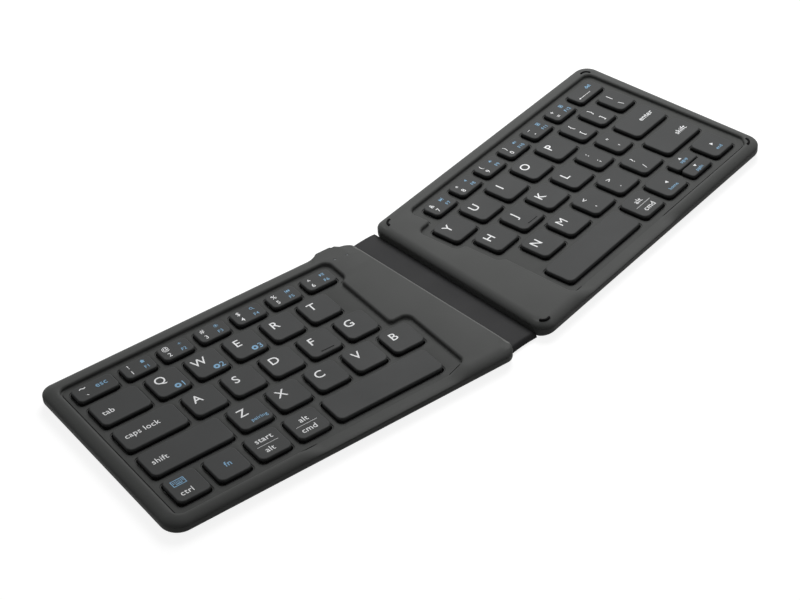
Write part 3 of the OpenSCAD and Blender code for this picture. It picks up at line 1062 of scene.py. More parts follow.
RIGHT = Half(
    side=Side.RIGHT,
    grid=RIGHT_GRID,
    outline=(RIGHT_WALL[0], (115.7, FRONT), (119.6, BACK), RIGHT_WALL[1]),
    radii=(6.0, 8.0, 6.8, 6.0),
    hinge_side=3,
    well=(
        *((-20.0, -4.2, 3.4), (107.3, -4.2, 3.4), (111.3, -0.2, 3.4), (112.9, 84.4, 3.4), (-17.2, 84.4, 3.4)),
        *((-17.2, 72.5, 2.0), (-25.8, 72.5, 3.4), (-25.8, 51.38, 3.4), (-21.4, 50.55, 2.0)),
        *((-21.4, 33.17, 3.4), (-18.6, 31.62, 2.0)),
    ),
    scoop=(-11.0, 42.0),
    screws=((111.7, 8.0), (114.3, 76.0), (40.0, 86.3), (-30.8, 74.9), (70.0, -4.5), (-26.0, -4.5)),
    feet=((107.0, 0.0), (109.0, 82.0), (-33.0, 4.0), (-24.0, 80.0)),
    keys=RIGHT_KEYS,
    hinge_run=4.0,
    stops=((-26.9, 84.5, 128.0), (-39.7, -3.0, 240.0), (111.1, 83.5, 50.0), (108.2, -2.4, 311.0)),
)


@dataclass
class TopCover:
    """Top cover of a half: soft rim, sunken well and a deck with a stepped window round each key."""

    half: Half
    round_end: float = 58.0
    well_fillet: float = 1.1
    deck_fillet: float = 0.6
    fillet_shares: Spot = (0.6, 0.35)
    groove: tuple[Spot, ...] = ((0.05, 0.25), (0.28, 0.25), (0.36, 0.0))
    groove_facing: Spot = (-0.66, -0.75)
    groove_wall: Spot = (0.3, 0.2)
    step_gap: float = 0.8
    steps: tuple[Spot, ...] = (
        *((0.0, Z.deck), (0.22, Z.deck - 0.06)),
        *((0.26, Z.ledge + 0.02), (0.28, Z.ledge), (0.6, Z.ledge), (0.6, Z.deck_under)),
    )
    window_corner: float = 2.4
    light_pocket: float = 0.55
    stop_pocket: Spot3 = (2.3, 3.3, 52.0)
    pocket_depth: float = 0.9
    worn_width: float = 1.1
    well_clear: float = 0.25
    pocket_clear: float = 0.2
    surface: Surface = field(default_factory=Surface)

    def turn_in(self, t: float) -> tuple[float, Points]:
        """Give the rounding's gap and its ring at one angle."""
        take = 1 - math.cos(t)
        return RIM_RUN * take, self.half.ring(RIM_RUN * take, self.half.hinge_run * take)

    def outer_rounding(self) -> Points:
        """Build the side above the seam and the outer part of the rounding.

        Returns:
            Plan points of the innermost ring, where the rim's flat starts.
        """
        half, out = self.half, self.surface
        loops = [out.level(half.ring(gap, gap), Z.seam + z) for gap, z in SEAM_STEP]
        for t in np.radians(np.linspace(0, self.round_end, 13)):
            gap, last = self.turn_in(t)
            loops.append(out.level(last, half.lift(last, gap)))
        begin, end = half.hinge_span
        # The top bands of the rounding along the spine get the painted highlight
        highlit = [TopSlot.WORN if half.crisp and begin <= k < end else TopSlot.PLAIN for k in range(len(last))]
        out.rings(loops, [TopSlot.PLAIN] * 9 + [highlit] * 6)
        return last

    def known_gap(self, plan: Points, start: Points) -> Points:
        """Measure the distance inside the outline, exact on the ring that the rounding ends with.

        Args:
            plan: plan points.
            start: that ring.

        Returns:
            One distance per point.
        """
        exact = RIM_RUN * (1 - math.cos(math.radians(self.round_end)))
        on_ring = line_distance(plan, np.vstack([start, start[:1]])) < 0.01
        return np.where(on_ring, exact, np.maximum(self.half.gap_of(plan), exact))

    def rim(self, start: Points, well: Points) -> None:
        """Fill the rim between the rounding and the well.

        Args:
            start: the rounding's innermost ring.
            well: the well's outline.
        """
        half, out = self.half, self.surface
        begin, end = half.hinge_span
        rings = [self.turn_in(t)[1] for t in np.radians(np.linspace(self.round_end, 90, 5)[1:])]
        brim = spread(well, self.well_fillet + self.well_clear)
        free = [ring[~inside(ring, brim)] for ring in rings]
        if half.crisp:
            free.append(half.ring(RIM_RUN, self.worn_width)[begin : end + 1])
        pockets = [circle(x, y, self.light_pocket, 24) for x, y in half.lights]
        pockets += [arc_band(*stop, *self.stop_pocket) for stop in half.stops]
        every = np.concatenate(free)
        for pocket in pockets:
            every = every[~inside(every, spread(pocket, self.pocket_clear))]
        plan, triangles = fill(start, [spread(well, self.well_fillet), *pockets], every)
        heights = half.lift(plan, self.known_gap(plan, start))
        # The rim's triangles near the spine get the painted highlight
        to_spine = line_distance(plan[triangles].mean(axis=1), half.ring(0, 0)[begin : end + 1])
        highlit = (to_spine < self.worn_width) & half.crisp
        out.sheet(plan, triangles[~highlit], heights)
        out.sheet(plan, triangles[highlit], heights, tone=TopSlot.WORN)
        for pocket in pockets:
            top = half.lift(pocket, half.gap_of(pocket))
            out.strip(out.level(pocket, top), out.level(pocket, top - self.pocket_depth))

    def well_wall(self, well: Points) -> Points:
        """Build the well's wall with its two fillets and the groove at its foot.

        Args:
            well: the well's outline.

        Returns:
            The loop where the wall meets the deck.
        """
        out, brim = self.surface, spread(well, self.well_fillet)
        rim = self.half.lift(brim, self.half.gap_of(brim))
        rise = np.maximum(rim - Z.deck, 0.0)
        fillets = zip((self.well_fillet, self.deck_fillet), self.fillet_shares)
        top_r, low_r = (np.minimum(r, rise * share) for r, share in fillets)
        high_wall, facing = self.groove_wall
        # Tall walls on the well's front and left sides get the groove, which is also painted as shade
        grooved = (rise > high_wall) & (loop_normals(well) @ np.array(self.groove_facing) > facing)
        shape = [
            (self.well_fillet * (1 - math.sin(t)), rim - top_r * (1 - math.cos(t)))
            for t in np.radians([0, 22.5, 45, 67.5, 90])
        ]
        shape += [
            (-self.deck_fillet * (1 - math.cos(t)), Z.deck + low_r * (1 - math.sin(t)))
            for t in np.radians([0, 30, 60, 90])
        ]
        for gap, depth in self.groove:
            shape.append((-self.deck_fillet - gap, Z.deck - depth * grooved))
        # Grooved bands take the painted shade, the others the deck plastic
        groove = [TopSlot.EDGE if g else TopSlot.FLAT for g in grooved]
        loops = [out.level(spread(well, gap), z) for gap, z in shape]
        out.rings(loops, [TopSlot.PLAIN] * 8 + [groove] * 3)
        return spread(well, shape[-1][0])

    def deck(self, edge: Points) -> None:
        """Fill the deck round the windows and build their steps.

        Args:
            edge: the loop where the wall meets the deck.
        """
        out, g, windows = self.surface, self.step_gap, []
        for key in self.half.keys:
            # The up and down keys share one window
            if key.name != "arrow_up":
                d = CAP if key.name == "arrow_down" else key.d
                size = (key.w + 2 * g, d + 2 * g, self.window_corner)
                windows.append(rounded_rect(key.x - g, key.y - g, *size))
        # The deck between the windows takes the darker plastic, painted shade
        out.sheet(*fill(edge, windows), Z.deck, tone=TopSlot.FLAT)
        # The step walls round each window are painted as shade; the ledge stays plain
        tones = [*[TopSlot.EDGE] * 3, TopSlot.PLAIN, TopSlot.EDGE]
        for window in windows:
            loops = [out.level(spread(window, -gap), z) for gap, z in self.steps]
            out.rings(loops, tones)

    def build(self) -> bpy.types.Object:
        """Build the whole cover.

        Returns:
            The cover.
        """
        well = rounded_loop(self.half.well)
        self.rim(self.outer_rounding(), well)
        self.deck(self.well_wall(well))
        return self.surface.build(f"{self.half.side.label}_top_shell", self.half.grid, TOP_DRESS)


@dataclass
class BottomCover:
    """Bottom cover of a half: straight side, soft undercut and a flat underside."""

    half: Half
    undercut: Spot = (3.4, 0.8)
    undercut_power: float = 0.85
    screw_pit: Spot = (1.2, 0.7)
    foot_pit: Spot = (4.1, 0.3)
    arm: Spot3 = (7.6, 1.3, 2.4)
    knuckle_x: float = 6.0
    knuckle_z: float = 1.85
    knuckle_r: float = 0.9
    knuckle_places: Spot3 = (-50.5, -14.5, 21.5)
    knuckle_length: float = 8.0
    surface: Surface = field(default_factory=Surface)

    def side(self) -> Points:
        """Build the outside from the seam to the underside.

        Returns:
            Plan points of the last ring.
        """
        half, out = self.half, self.surface
        loops = [out.level(half.ring(gap, gap), Z.seam - z) for gap, z in SEAM_STEP]
        loops.append(out.level(half.ring(0, 0), (Z.seam + Z.side_low) / 2))
        for t in np.radians(np.linspace(0, 90, 11)):
            take = (1 - math.cos(t)) ** self.undercut_power
            last = half.ring(*(gap * take for gap in self.undercut))
            loops.append(out.level(last, Z.side_low - (Z.side_low - Z.foot) * math.sin(t)))
        out.rings(loops, down=True)
        return last

    def underside(self, edge: Points) -> None:
        """Fill the flat round the screw holes and the feet's recesses.

        Args:
            edge: the outline of the flat.
        """
        out = self.surface
        (screw_r, screw_depth), (foot_r, foot_depth) = self.screw_pit, self.foot_pit
        pits = [(circle(x, y, screw_r, 24), screw_depth) for x, y in self.half.screws]
        pits += [(circle(x, y, foot_r, 48), foot_depth) for x, y in self.half.feet]
        out.sheet(*fill(edge, [loop for loop, _ in pits]), Z.foot, flip=True)
        for loop, depth in pits:
            high = out.level(loop, Z.foot + depth)
            out.strip(high, out.level(loop, Z.foot))
            out.cap(high, flip=True)

    def ears(self) -> None:
        """Add the knuckles that hold the hinge pin, with their arms."""
        out, sign = self.surface, self.half.side.sign
        knuckle = circle(self.knuckle_x * sign, self.knuckle_z, self.knuckle_r, 24)
        reach, low, high = self.arm
        arm = box_loop(self.knuckle_x * sign, low, reach * sign, high)[::sign]
        for y0 in self.knuckle_places:
            y1 = y0 + self.knuckle_length
            for shape in (knuckle, arm):
                middle, rows = shape.mean(axis=0), []
                for y, scale in ((y0, 0.9), (y0 + 0.1, 1.0), (y1 - 0.1, 1.0), (y1, 0.9)):
                    x, z = (middle + (shape - middle) * scale).T
                    rows.append(out.add(np.column_stack([*self.half.grid.own(x, y), z])))
                out.tube(rows, down=True)

    def build(self) -> bpy.types.Object:
        """Build the whole cover.

        Returns:
            The cover.
        """
        self.underside(self.side())
        self.ears()
        return self.surface.build(f"{self.half.side.label}_bottom_shell", self.half.grid, [COVER])


@dataclass
class KeyCap:
    """One key cap: sides painted near-black as shade, softly rounded crown with a shallow dish, hollow
    beneath.
    """

    spot: KeySpot
    fillet: float = 0.6
    corner: float = 2.8
    dish: float = 0.03
    low: float = 5.0
    roof: float = 6.4
    lean: float = 0.08
    crown_gaps: tuple[float, ...] = (0.8, 1.4, 2.2, 3.0)

    def loop(self, gap: float) -> Points:
        """Draw the cap's outline taken in by a gap.

        Args:
            gap: the gap.

        Returns:
            The plan points.
        """
        s = self.spot
        r = min(max(min(self.corner, 0.25 * s.d) - gap, 0.6), 0.45 * (s.d - 2 * gap))
        return rounded_rect(s.x + gap, s.y + gap, s.w - 2 * gap, s.d - 2 * gap, r, 8)

    def top_at(self, plan: Points) -> Points:
        """Measure the crown.

        Args:
            plan: plan points.

        Returns:
            Its height at each of them.
        """
        s = self.spot
        u = (plan[:, 0] - s.x - s.w / 2) / (s.w / 2)
        v = (plan[:, 1] - s.y - s.d / 2) / (s.d / 2)
        return Z.top - self.dish * np.clip(1 - u**2, 0, 1) * np.clip(1 - v**2, 0, 1)

    def add(self, out: Surface) -> None:
        """Add the cap to its node's surface, with a bar for the forefingers on F and J.

        Args:
            out: the surface.
        """
        s = self.spot
        shape = [(1.1, self.roof), (1.1, self.low), (0.12, self.low), (0.02, self.low + 0.1)]
        shape += [(0.05, Z.top - 1.1), (self.lean, Z.top - self.fillet)]
        for t in np.radians([18, 36, 54, 72, 90]):
            gap = self.lean + self.fillet * (1 - math.cos(t))
            shape.append((gap, Z.top - self.fillet * (1 - math.sin(t))))
        shape += [(gap, self.top_at(self.loop(gap))) for gap in self.crown_gaps]
        loops = [out.level(self.loop(gap), z) for gap, z in shape]
        # The sides below the crown's rounding are painted near-black as shade
        out.rings(loops, [CapSlot.SKIRT] * 4 + [CapSlot.CROWN] * 10)
        out.cap(loops[0], flip=True, tone=CapSlot.SKIRT)
        edge = self.loop(self.crown_gaps[-1])
        nx, ny = max(2, int(s.w / 1.5)), max(2, int(s.d / 1.5))
        gx, gy = np.meshgrid(np.linspace(s.x, s.x + s.w, nx), np.linspace(s.y, s.y + s.d, ny))
        grid = np.stack([gx.ravel(), gy.ravel()], axis=1)
        plan, triangles = fill(edge, free=grid[inside(grid, spread(edge, -0.4))])
        out.sheet(plan, triangles, self.top_at(plan))
        if s.name in ("f", "j"):
            self.bar(out)

    def bar(self, out: Surface) -> None:
        """Add the raised bar near the key's front.

        Args:
            out: the surface of the cap's node.
        """
        s = self.spot
        x, y, w, d = s.x + 0.34 * s.w, s.y + 1.9, 0.42 * s.w, 0.6
        loops = [
            out.level(rounded_rect(x + g, y + g, w - 2 * g, d - 2 * g, 0.28 - g), Z.top + z)
            for g, z in ((0.0, -0.06), (0.02, 0.1), (0.1, 0.2), (0.2, 0.25))
        ]
        out.rings(loops)
        out.cap(loops[-1])


@dataclass
class KeyRows:
    """All keys of one half, gathered by the CAD node that they belong to."""

    half: Half

    def build(self) -> None:
        """Build one object per node."""
        for node, keys in self.half.banks().items():
            out = Surface()
            for key in keys:
                KeyCap(key).add(out)
            settle(out.build("cap_" + node, self.half.grid, CAP_DRESS), node, "key_plastic", node)


@dataclass
class KeyLifts:
    """Scissor links and rubber domes of one half, one object of each per key node."""

    half: Half
    base: float = 2.25
    middle: float = 4.3
    rise: float = 1.45
    thick: float = 0.8
    bar: float = 1.0
    soft: float = 0.12
    shell: float = 0.4
    kept: float = 0.63
    room: Spot = (2.6, 3.4)
    widest: float = 12.0
    inner_room: float = 2.4
    large_dome: Spot3 = (3.2, 2.5, 1.5)
    small_dome: float = 1.6
    long_key: float = 40.0
    long_shares: Spot = (0.22, 0.78)

    def frame(self, out: Surface, spot: Spot, size: Spot, tilt: float) -> None:
        """Add one link: a frame with soft edges, tilted about its middle.

        Args:
            out: the surface of the node's links.
            spot: the frame's middle.
            size: its width and length.
            tilt: its tilt in radians, up towards the back.
        """
        w, length = size
        half, soft = self.thick / 2, self.soft
        corners = ((soft, -half), (0.0, soft - half), (0.0, half - soft), (soft, half))
        loops = []
        for gap, z in corners + tuple((self.bar - g, -z) for g, z in corners):
            plan = rounded_rect(gap - w / 2, gap - length / 2, w - 2 * gap, length - 2 * gap, 1.2 - gap, 3)
            y, height = turned(plan[:, 1], z, tilt)
            loops.append(out.add(np.column_stack([plan[:, 0] + spot[0], y + spot[1], height + self.middle])))
        out.rings([*loops, loops[0]])

    def dome(self, out: Surface, spot: Spot, r: float) -> None:
        """Add one dome: a bell with a flat crown, hollow beneath.

        Args:
            out: the surface of the node's domes.
            spot: its middle.
            r: radius of its foot.
        """
        top, foot = 0.55 * r, self.base + 0.2
        profile = [(top - self.shell, 5.7), (0.72 * r - self.shell, 4.5), (r - self.shell, foot)]
        profile += [(r - self.shell, self.base), (r, self.base), (r, foot), (0.93 * r, 3.1), (0.72 * r, 4.5)]
        profile += [(0.6 * r, 5.5), (top, 6.15), (top - 0.1, 6.3)]
        out.lathe(*spot, profile, 20)

    def fit(self, key: KeySpot, links: Surface, domes: Surface) -> None:
        """Add the links and the domes under one key; a half key has a small dome only.

        Args:
            key: the key.
            links: the surface of the node's links.
            domes: the surface of the node's domes.
        """
        across, along = min(self.widest, key.w - self.room[0]), key.d - self.room[1]
        whole = key.d > HALF_KEY
        most, side, end = self.large_dome
        r = min(most, across / 2 - side, along / 2 - end) if whole else self.small_dome
        for share in self.long_shares if key.w > self.long_key else (0.5,):
            spot = (key.x + key.w * share, key.y + key.d / 2)
            self.dome(domes, spot, r)
            if whole:
                tilt = math.asin(2 * self.rise / along)
                self.frame(links, spot, (across, along), tilt)
                self.frame(links, spot, (across - self.inner_room, along), -tilt)

    def build(self) -> None:
        """Build the links and domes under each node's keys and let them ride the half."""
        side, kinds = self.half.side, (("scissor_links", "link_plastic"), ("rubber_domes", "dome_rubber"))
        for node, keys in self.half.banks().items():
            surfaces = (Surface(), Surface())
            for key in keys:
                self.fit(key, *surfaces)
            for surface, (kind, slot), finish in zip(surfaces, kinds, (LINK_PLASTIC, DOME_RUBBER)):
                obj = surface.build(f"{kind}_{node}", self.half.grid, [finish])
                settle(obj, side.value, slot, f"{side.label}_{kind}")
                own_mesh(obj)


# ---------------------------------------------------------------- legends


class Tint(Enum):
    """The two printing inks, by material slot of a legend."""

    WHITE = 0
    BLUE = 1


class Sign(Enum):
    """Small pictures printed on the keys."""

    HOME, DIMMER, BRIGHTER, LENS, BACKWARD, PLAY, FORWARD, MUTE, QUIETER, LOUDER = range(10)
    TILE, KEYBOARD, DISC, LINE, ARROW, LEFT, RIGHT, UP, DOWN = range(10, 19)


@dataclass(frozen=True)
class Mark:
    """A word or a picture on a key: its middle and height from the key's left front corner."""

    what: str | Sign
    x: float
    y: float
    size: float
    tint: Tint = Tint.WHITE


def pointer(x: float, direction: int, size: float = 0.45, reach: float = 0.42) -> Points:
    """Draw a triangle whose tip points left or right, from its upright side and half height."""
    return np.array([(x, -size), (x + direction * reach, 0.0), (x, size)])[::direction]


def sign_loops(sign: Sign) -> list[tuple[Points, ...]]:
    """Draw a small picture about one unit high.

    Args:
        sign: the picture.

    Returns:
        Its outlines, each followed by the hole in it, if it has one.
    """
    if sign in (Sign.DIMMER, Sign.BRIGHTER):
        r, low, high = (0.16, 0.27, 0.38) if sign is Sign.DIMMER else (0.2, 0.31, 0.5)
        return [(circle(0, 0, r, 20),)] + [(arc_band(0, 0, a, low, high, 9),) for a in range(0, 360, 45)]
    if sign in (Sign.MUTE, Sign.QUIETER, Sign.LOUDER):
        waves = {Sign.MUTE: (), Sign.QUIETER: (0.2,), Sign.LOUDER: (0.2, 0.4)}[sign]
        horn = [(-0.5, -0.16), (-0.3, -0.16), (-0.05, -0.42), (-0.05, 0.42), (-0.3, 0.16), (-0.5, 0.16)]
        return [(np.array(horn),)] + [(arc_band(-0.05, 0, 0, r, r + 0.09, 42),) for r in waves]
    if sign is Sign.LENS:
        handle = np.array([(0.4, -0.48), (0.48, -0.4), (0.18, -0.1), (0.1, -0.18)])
        return [(circle(-0.1, 0.1, 0.36, 24), circle(-0.1, 0.1, 0.25, 24)), (handle,)]
    if sign is Sign.KEYBOARD:
        spots = [(x, y) for y in (0.2, 0.0) for x in np.linspace(-0.6, 0.6, 7)]
        dots = [(box_loop(x - 0.06, y - 0.06, x + 0.06, y + 0.06),) for x, y in spots]
        border = (box_loop(-0.85, -0.5, 0.85, 0.5), box_loop(-0.75, -0.4, 0.75, 0.4))
        return [border, (box_loop(-0.4, -0.27, 0.4, -0.15),), *dots]
    if sign is Sign.DISC:
        return [(circle(0, 0, 0.5, 32), circle(0, 0, 0.2, 20))]
    if sign is Sign.TILE:
        border = (box_loop(-0.42, -0.5, 0.42, 0.5), box_loop(-0.3, -0.38, 0.3, 0.38))
        return [border, (box_loop(-0.16, -0.2, 0.16, 0.2),)]
    house = [(-0.34, -0.45), (0.34, -0.45), (0.34, 0.02), (0.52, 0.02)]
    house += [(0.0, 0.5), (-0.52, 0.02), (-0.34, 0.02)]
    simple = {
        Sign.HOME: [np.array(house)],
        Sign.BACKWARD: [pointer(0.6, -1), pointer(0.18, -1), box_loop(-0.4, -0.45, -0.28, 0.45)],
        Sign.FORWARD: [pointer(-0.6, 1), pointer(-0.18, 1), box_loop(0.28, -0.45, 0.4, 0.45)],
        Sign.PLAY: [pointer(-0.5, 1, 0.45, 0.5), *(box_loop(x, -0.45, x + 0.12, 0.45) for x in (0.1, 0.34))],
        Sign.LINE: [box_loop(-3.4, -0.06, 3.4, 0.06)],
        Sign.ARROW: [box_loop(-2.9, -0.09, 3.4, 0.09), pointer(-2.6, -1, 0.4, 0.8)],
        Sign.LEFT: [pointer(0.35, -1, 0.5, 0.8)],
        Sign.RIGHT: [pointer(-0.35, 1, 0.5, 0.8)],
        Sign.UP: [np.array([(-0.5, -0.4), (0.5, -0.4), (0.0, 0.4)])],
        Sign.DOWN: [np.array([(-0.5, 0.4), (0.0, -0.4), (0.5, 0.4)])],
    }
    return [(loop,) for loop in simple[sign]]


class Lettering:
    """Flat letter shapes, one capital high, made once per word."""

    def __init__(self) -> None:
        """Measure a capital's height."""
        self.made: dict[str, tuple[Points, list[tuple[int, ...]]]] = {}
        self.unit = 1.0
        self.unit = float(np.ptp(self.shape("H")[0][:, 1]))
        self.made.clear()

    def shape(self, text: str) -> tuple[Points, list[tuple[int, ...]]]:
        """Give a word's flat shape, centred.

        Args:
            text: the word.

        Returns:
            Plan points and faces.
        """
        if text not in self.made:
            curve = bpy.data.curves.new("word", "FONT")
            curve.body = text
            curve.resolution_u = 4
            # The M's narrow notches would cross if its strokes were made bolder
            curve.offset = 0.0 if text == "M" else 0.007
            curve.space_character = 1.06
            obj = linked("word", curve)
            mesh = settled_mesh(obj)
            points = np.array([v.co[:2] for v in mesh.vertices]) / self.unit
            faces = [tuple(p.vertices) for p in mesh.polygons]
            self.made[text] = (points - (points.max(axis=0) + points.min(axis=0)) / 2, faces)
            bpy.data.objects.remove(obj)
            bpy.data.curves.remove(curve)
            bpy.data.meshes.remove(mesh)
        return self.made[text]


WORD, SMALL = 2.7, 1.9
BLUE = Tint.BLUE
NUMBER_SIGNS = (
    *(("!", "1", Sign.HOME), ("@", "2", Sign.DIMMER), ("#", "3", Sign.BRIGHTER), ("$", "4", Sign.LENS)),
    *(("%", "5", Sign.BACKWARD), ("^", "6", Sign.PLAY), ("&", "7", Sign.FORWARD), ("*", "8", Sign.MUTE)),
    *(("(", "9", Sign.QUIETER), (")", "0", Sign.LOUDER), ("_", "-", Sign.TILE), ("+", "=", Sign.TILE)),
)
PAIRS = {
    **{"bracket_left": "{[", "bracket_right": "}]", "backslash": "|\\", "semicolon": ":;"},
    **{"quote": "\"'", "comma": "<,", "period": ">.", "slash": "?/"},
}


def two_words(upper: str, x0: float, y0: float, x: float, lower: str, x1: float, y1: float) -> list[Mark]:
    """Print one word above another, with a line between them whose middle is at x."""
    return [Mark(upper, x0, y0, WORD), Mark(Sign.LINE, x, 7.0, 1.4), Mark(lower, x1, y1, WORD)]


OTHER_MARKS: dict[str, list[Mark]] = {
    "escape": [Mark("~", 4.8, 7.1, 3.6), Mark("`", 4.9, 2.6, 3.6), Mark("esc", 12.4, 5.1, WORD, BLUE)],
    "tab": [Mark("tab", 5.5, 7.0, WORD)],
    "caps_lock": [Mark("caps lock", 10.6, 7.6, WORD)],
    "shift_left": [Mark("shift", 6.9, 7.4, WORD)],
    "ctrl": [Mark(Sign.KEYBOARD, 5.7, 10.3, 3.4, BLUE), Mark("ctrl", 5.7, 4.3, WORD)],
    "fn": [Mark("fn", 7.5, 7.3, WORD, BLUE)],
    "option": two_words("start", 7.4, 10.0, 7.3, "alt", 6.4, 4.1),
    "command": two_words("alt", 7.4, 9.9, 7.1, "cmd", 6.4, 4.2),
    "command_right": two_words("alt", 7.6, 9.9, 7.5, "cmd", 7.6, 4.0),
    "shift_right": [Mark("shift", 18.4, 6.7, WORD)],
    "enter": [Mark("enter", 15.7, 7.2, WORD)],
    "backspace": [Mark("del", 12.6, 6.2, SMALL, BLUE), Mark(Sign.ARROW, 6.1, 2.8, 1.2)],
    "arrow_left": [Mark(Sign.LEFT, 8.1, 7.6, SMALL), Mark("home", 7.6, 3.6, 1.7, BLUE)],
    "arrow_right": [Mark(Sign.RIGHT, 7.1, 7.6, SMALL), Mark("end", 7.2, 3.8, 1.7, BLUE)],
    "arrow_up": [Mark(Sign.UP, 7.4, 5.2, 1.7), Mark("pgup", 7.6, 2.6, 1.6, BLUE)],
    "arrow_down": [Mark(Sign.DOWN, 7.3, 4.4, 1.7), Mark("pgdn", 7.0, 1.9, 1.6, BLUE)],
    "z": [Mark("pairing", 9.4, 3.3, 1.75, BLUE)],
}


def marks_of(name: str) -> list[Mark]:
    """List everything printed on a key.

    Args:
        name: the key's name.

    Returns:
        Its marks; the space bars have none.
    """
    out = list(OTHER_MARKS.get(name, []))
    if len(name) == 1:
        out.append(Mark(name.upper(), 5.15, 9.35, 4.2))
    if name in ("q", "w", "e"):
        number = str("qwe".index(name) + 1)
        out += [Mark(Sign.DISC, 9.4, 2.9, 2.7, BLUE), Mark(number, 11.9, 2.9, 2.9, BLUE)]
    if name in PAIRS:
        upper, lower = PAIRS[name]
        out += [Mark(upper, 5.0, 10.5, WORD), Mark(lower, 4.8, 3.9, WORD)]
    if name.startswith("number_"):
        number = int(name.split("_")[1])
        symbol, digit, sign = NUMBER_SIGNS[number - 1]
        out += [Mark(symbol, 3.6, 6.6, 2.2), Mark(digit, 3.5, 2.8, 2.2)]
        out += [Mark(sign, 10.0, 6.5, 2.0, BLUE), Mark(f"F{number}", 10.0, 2.7, 1.7, BLUE)]
    return out


@dataclass
class Legends:
    """Printing on all keys of one half: one thin sheet of ink shapes per key node."""

    half: Half
    letters: Lettering
    thickness: float = 0.015

    def add(self, out: Surface, cap: KeyCap, mark: Mark) -> None:
        """Print one mark on a cap.

        Args:
            out: the surface of the cap's node.
            cap: the cap.
            mark: what is printed, and where.
        """
        if isinstance(mark.what, Sign):
            parts = [fill(loop, holes) for loop, *holes in sign_loops(mark.what)]
        else:
            parts = [self.letters.shape(mark.what)]
        corner = np.array([cap.spot.x + mark.x, cap.spot.y + mark.y])
        for plan, faces in parts:
            spots = corner + plan * mark.size
            numbers = out.level(spots, cap.top_at(spots) + self.thickness)
            for face in faces:
                out.face([numbers[i] for i in face], mark.tint.value)

    def build(self) -> None:
        """Print every key that has marks."""
        for node, keys in self.half.banks().items():
            jobs = [(KeyCap(key), mark) for key in keys for mark in marks_of(key.name)]
            if jobs:
                out = Surface()
                for cap, mark in jobs:
                    self.add(out, cap, mark)
                settle(out.build("print_" + node, self.half.grid, [WHITE_INK, BLUE_INK]), node, "key_plastic")


# ---------------------------------------------------------------- spine and fittings


@dataclass
class Spine:
    """Rubber skin over the link, in two strips that bend round the hinge pins, and the flex cable."""

    half_width: float = 7.3
    front: float = -56.5
    length: float = 96.0
    low: float = 0.7
    high: float = 3.05
    crown: float = 0.35
    front_gap: float = 0.8
    back_over: float = 0.5
    hollow: float = 0.35
    bend_start: float = 4.6
    pin_height: float = 1.85
    cable_y: Spot = (58.0, 70.0)
    cable_z: Spot3 = (2.45, 2.525, 2.6)
    cable_reach: Spot = (17.0, 13.0)

    def strip(self, side: Side) -> bpy.types.Object:
        """Build one strip, from the fold's middle to a half's wall.

        Args:
            side: the half that it reaches.

        Returns:
            The strip, ready to bend.
        """
        sign, out, tops, lows = side.sign, Surface(), [], []
        across = np.concatenate([np.linspace(0, 4.2, 8), np.linspace(4.5, self.half_width, 15)])
        ends = [0, 0.0008, 0.002, 0.0035, 0.0055, 0.008, 0.0105, 0.0135, 0.017, 0.022]
        along = np.concatenate([ends, np.linspace(0.03, 0.985, 40), [0.9925, 0.996, 0.998, 1.0]])
        for x in across:
            share = (x / self.half_width) ** 2
            first = self.front + self.front_gap + self.hollow * (1 - share)
            last = self.front + self.length + self.back_over - 0.2 * share
            y = first + (last - first) * along
            soft = 1.5 * np.clip(1 - (y - first) / 1.9, 0, 1) ** 2.2
            soft += 0.3 * np.clip(1 - (last - y) / 0.5, 0, 1) ** 2
            plan = np.column_stack([np.full(len(y), sign * x), y])
            tops.append(out.level(plan, self.high - self.crown * share**2 - soft))
            lows.append(out.level(plan, self.low))
        out.rings([np.concatenate([top, low[::-1]]) for top, low in zip(tops, lows)], down=sign > 0)
        out.strip(*(lows[-1], tops[-1])[::sign], closed=False)
        return out.build(f"spine_skin_{side.label}", SPINE_GRID, [SPINE_RUBBER])

    def cable(self, side: Side) -> bpy.types.Object:
        """Build one part of the flex cable, from the fold's middle into a half.

        Args:
            side: the half that it reaches.

        Returns:
            The cable's part, ready to bend.
        """
        out, reach = Surface(), self.cable_reach[side is Side.RIGHT]
        runs = ((0, 4.4, 6), (4.6, 7.6, 14), (8.2, reach, 6))
        stations = np.concatenate([np.linspace(*run) for run in runs])
        (y0, y1), (z0, z1, z2) = (self.front + y for y in self.cable_y), self.cable_z
        section = np.array([(y0, z0), (y1, z0), (y1, z1), (y1, z2), (y0, z2), (y0, z1)])
        rows = [out.add(np.column_stack([np.full(6, side.sign * x), section])) for x in stations]
        out.tube(rows, down=side.sign < 0)
        return out.build(f"flex_cable_{side.label}", SPINE_GRID, [CABLE_FILM])

    def build(self) -> None:
        """Build the skin and the cable, one strip of each for each half, and hide their CAD nodes."""
        for side in Side:
            pieces = (self.strip(side), self.cable(side))
            for obj, node, slot in zip(pieces, ("spine_skin", "flex_cable"), ("spine_rubber", "cable_film")):
                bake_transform(obj)
                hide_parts(node)
                log.info("%-26s bends between spine and %s", obj.name, side.value)


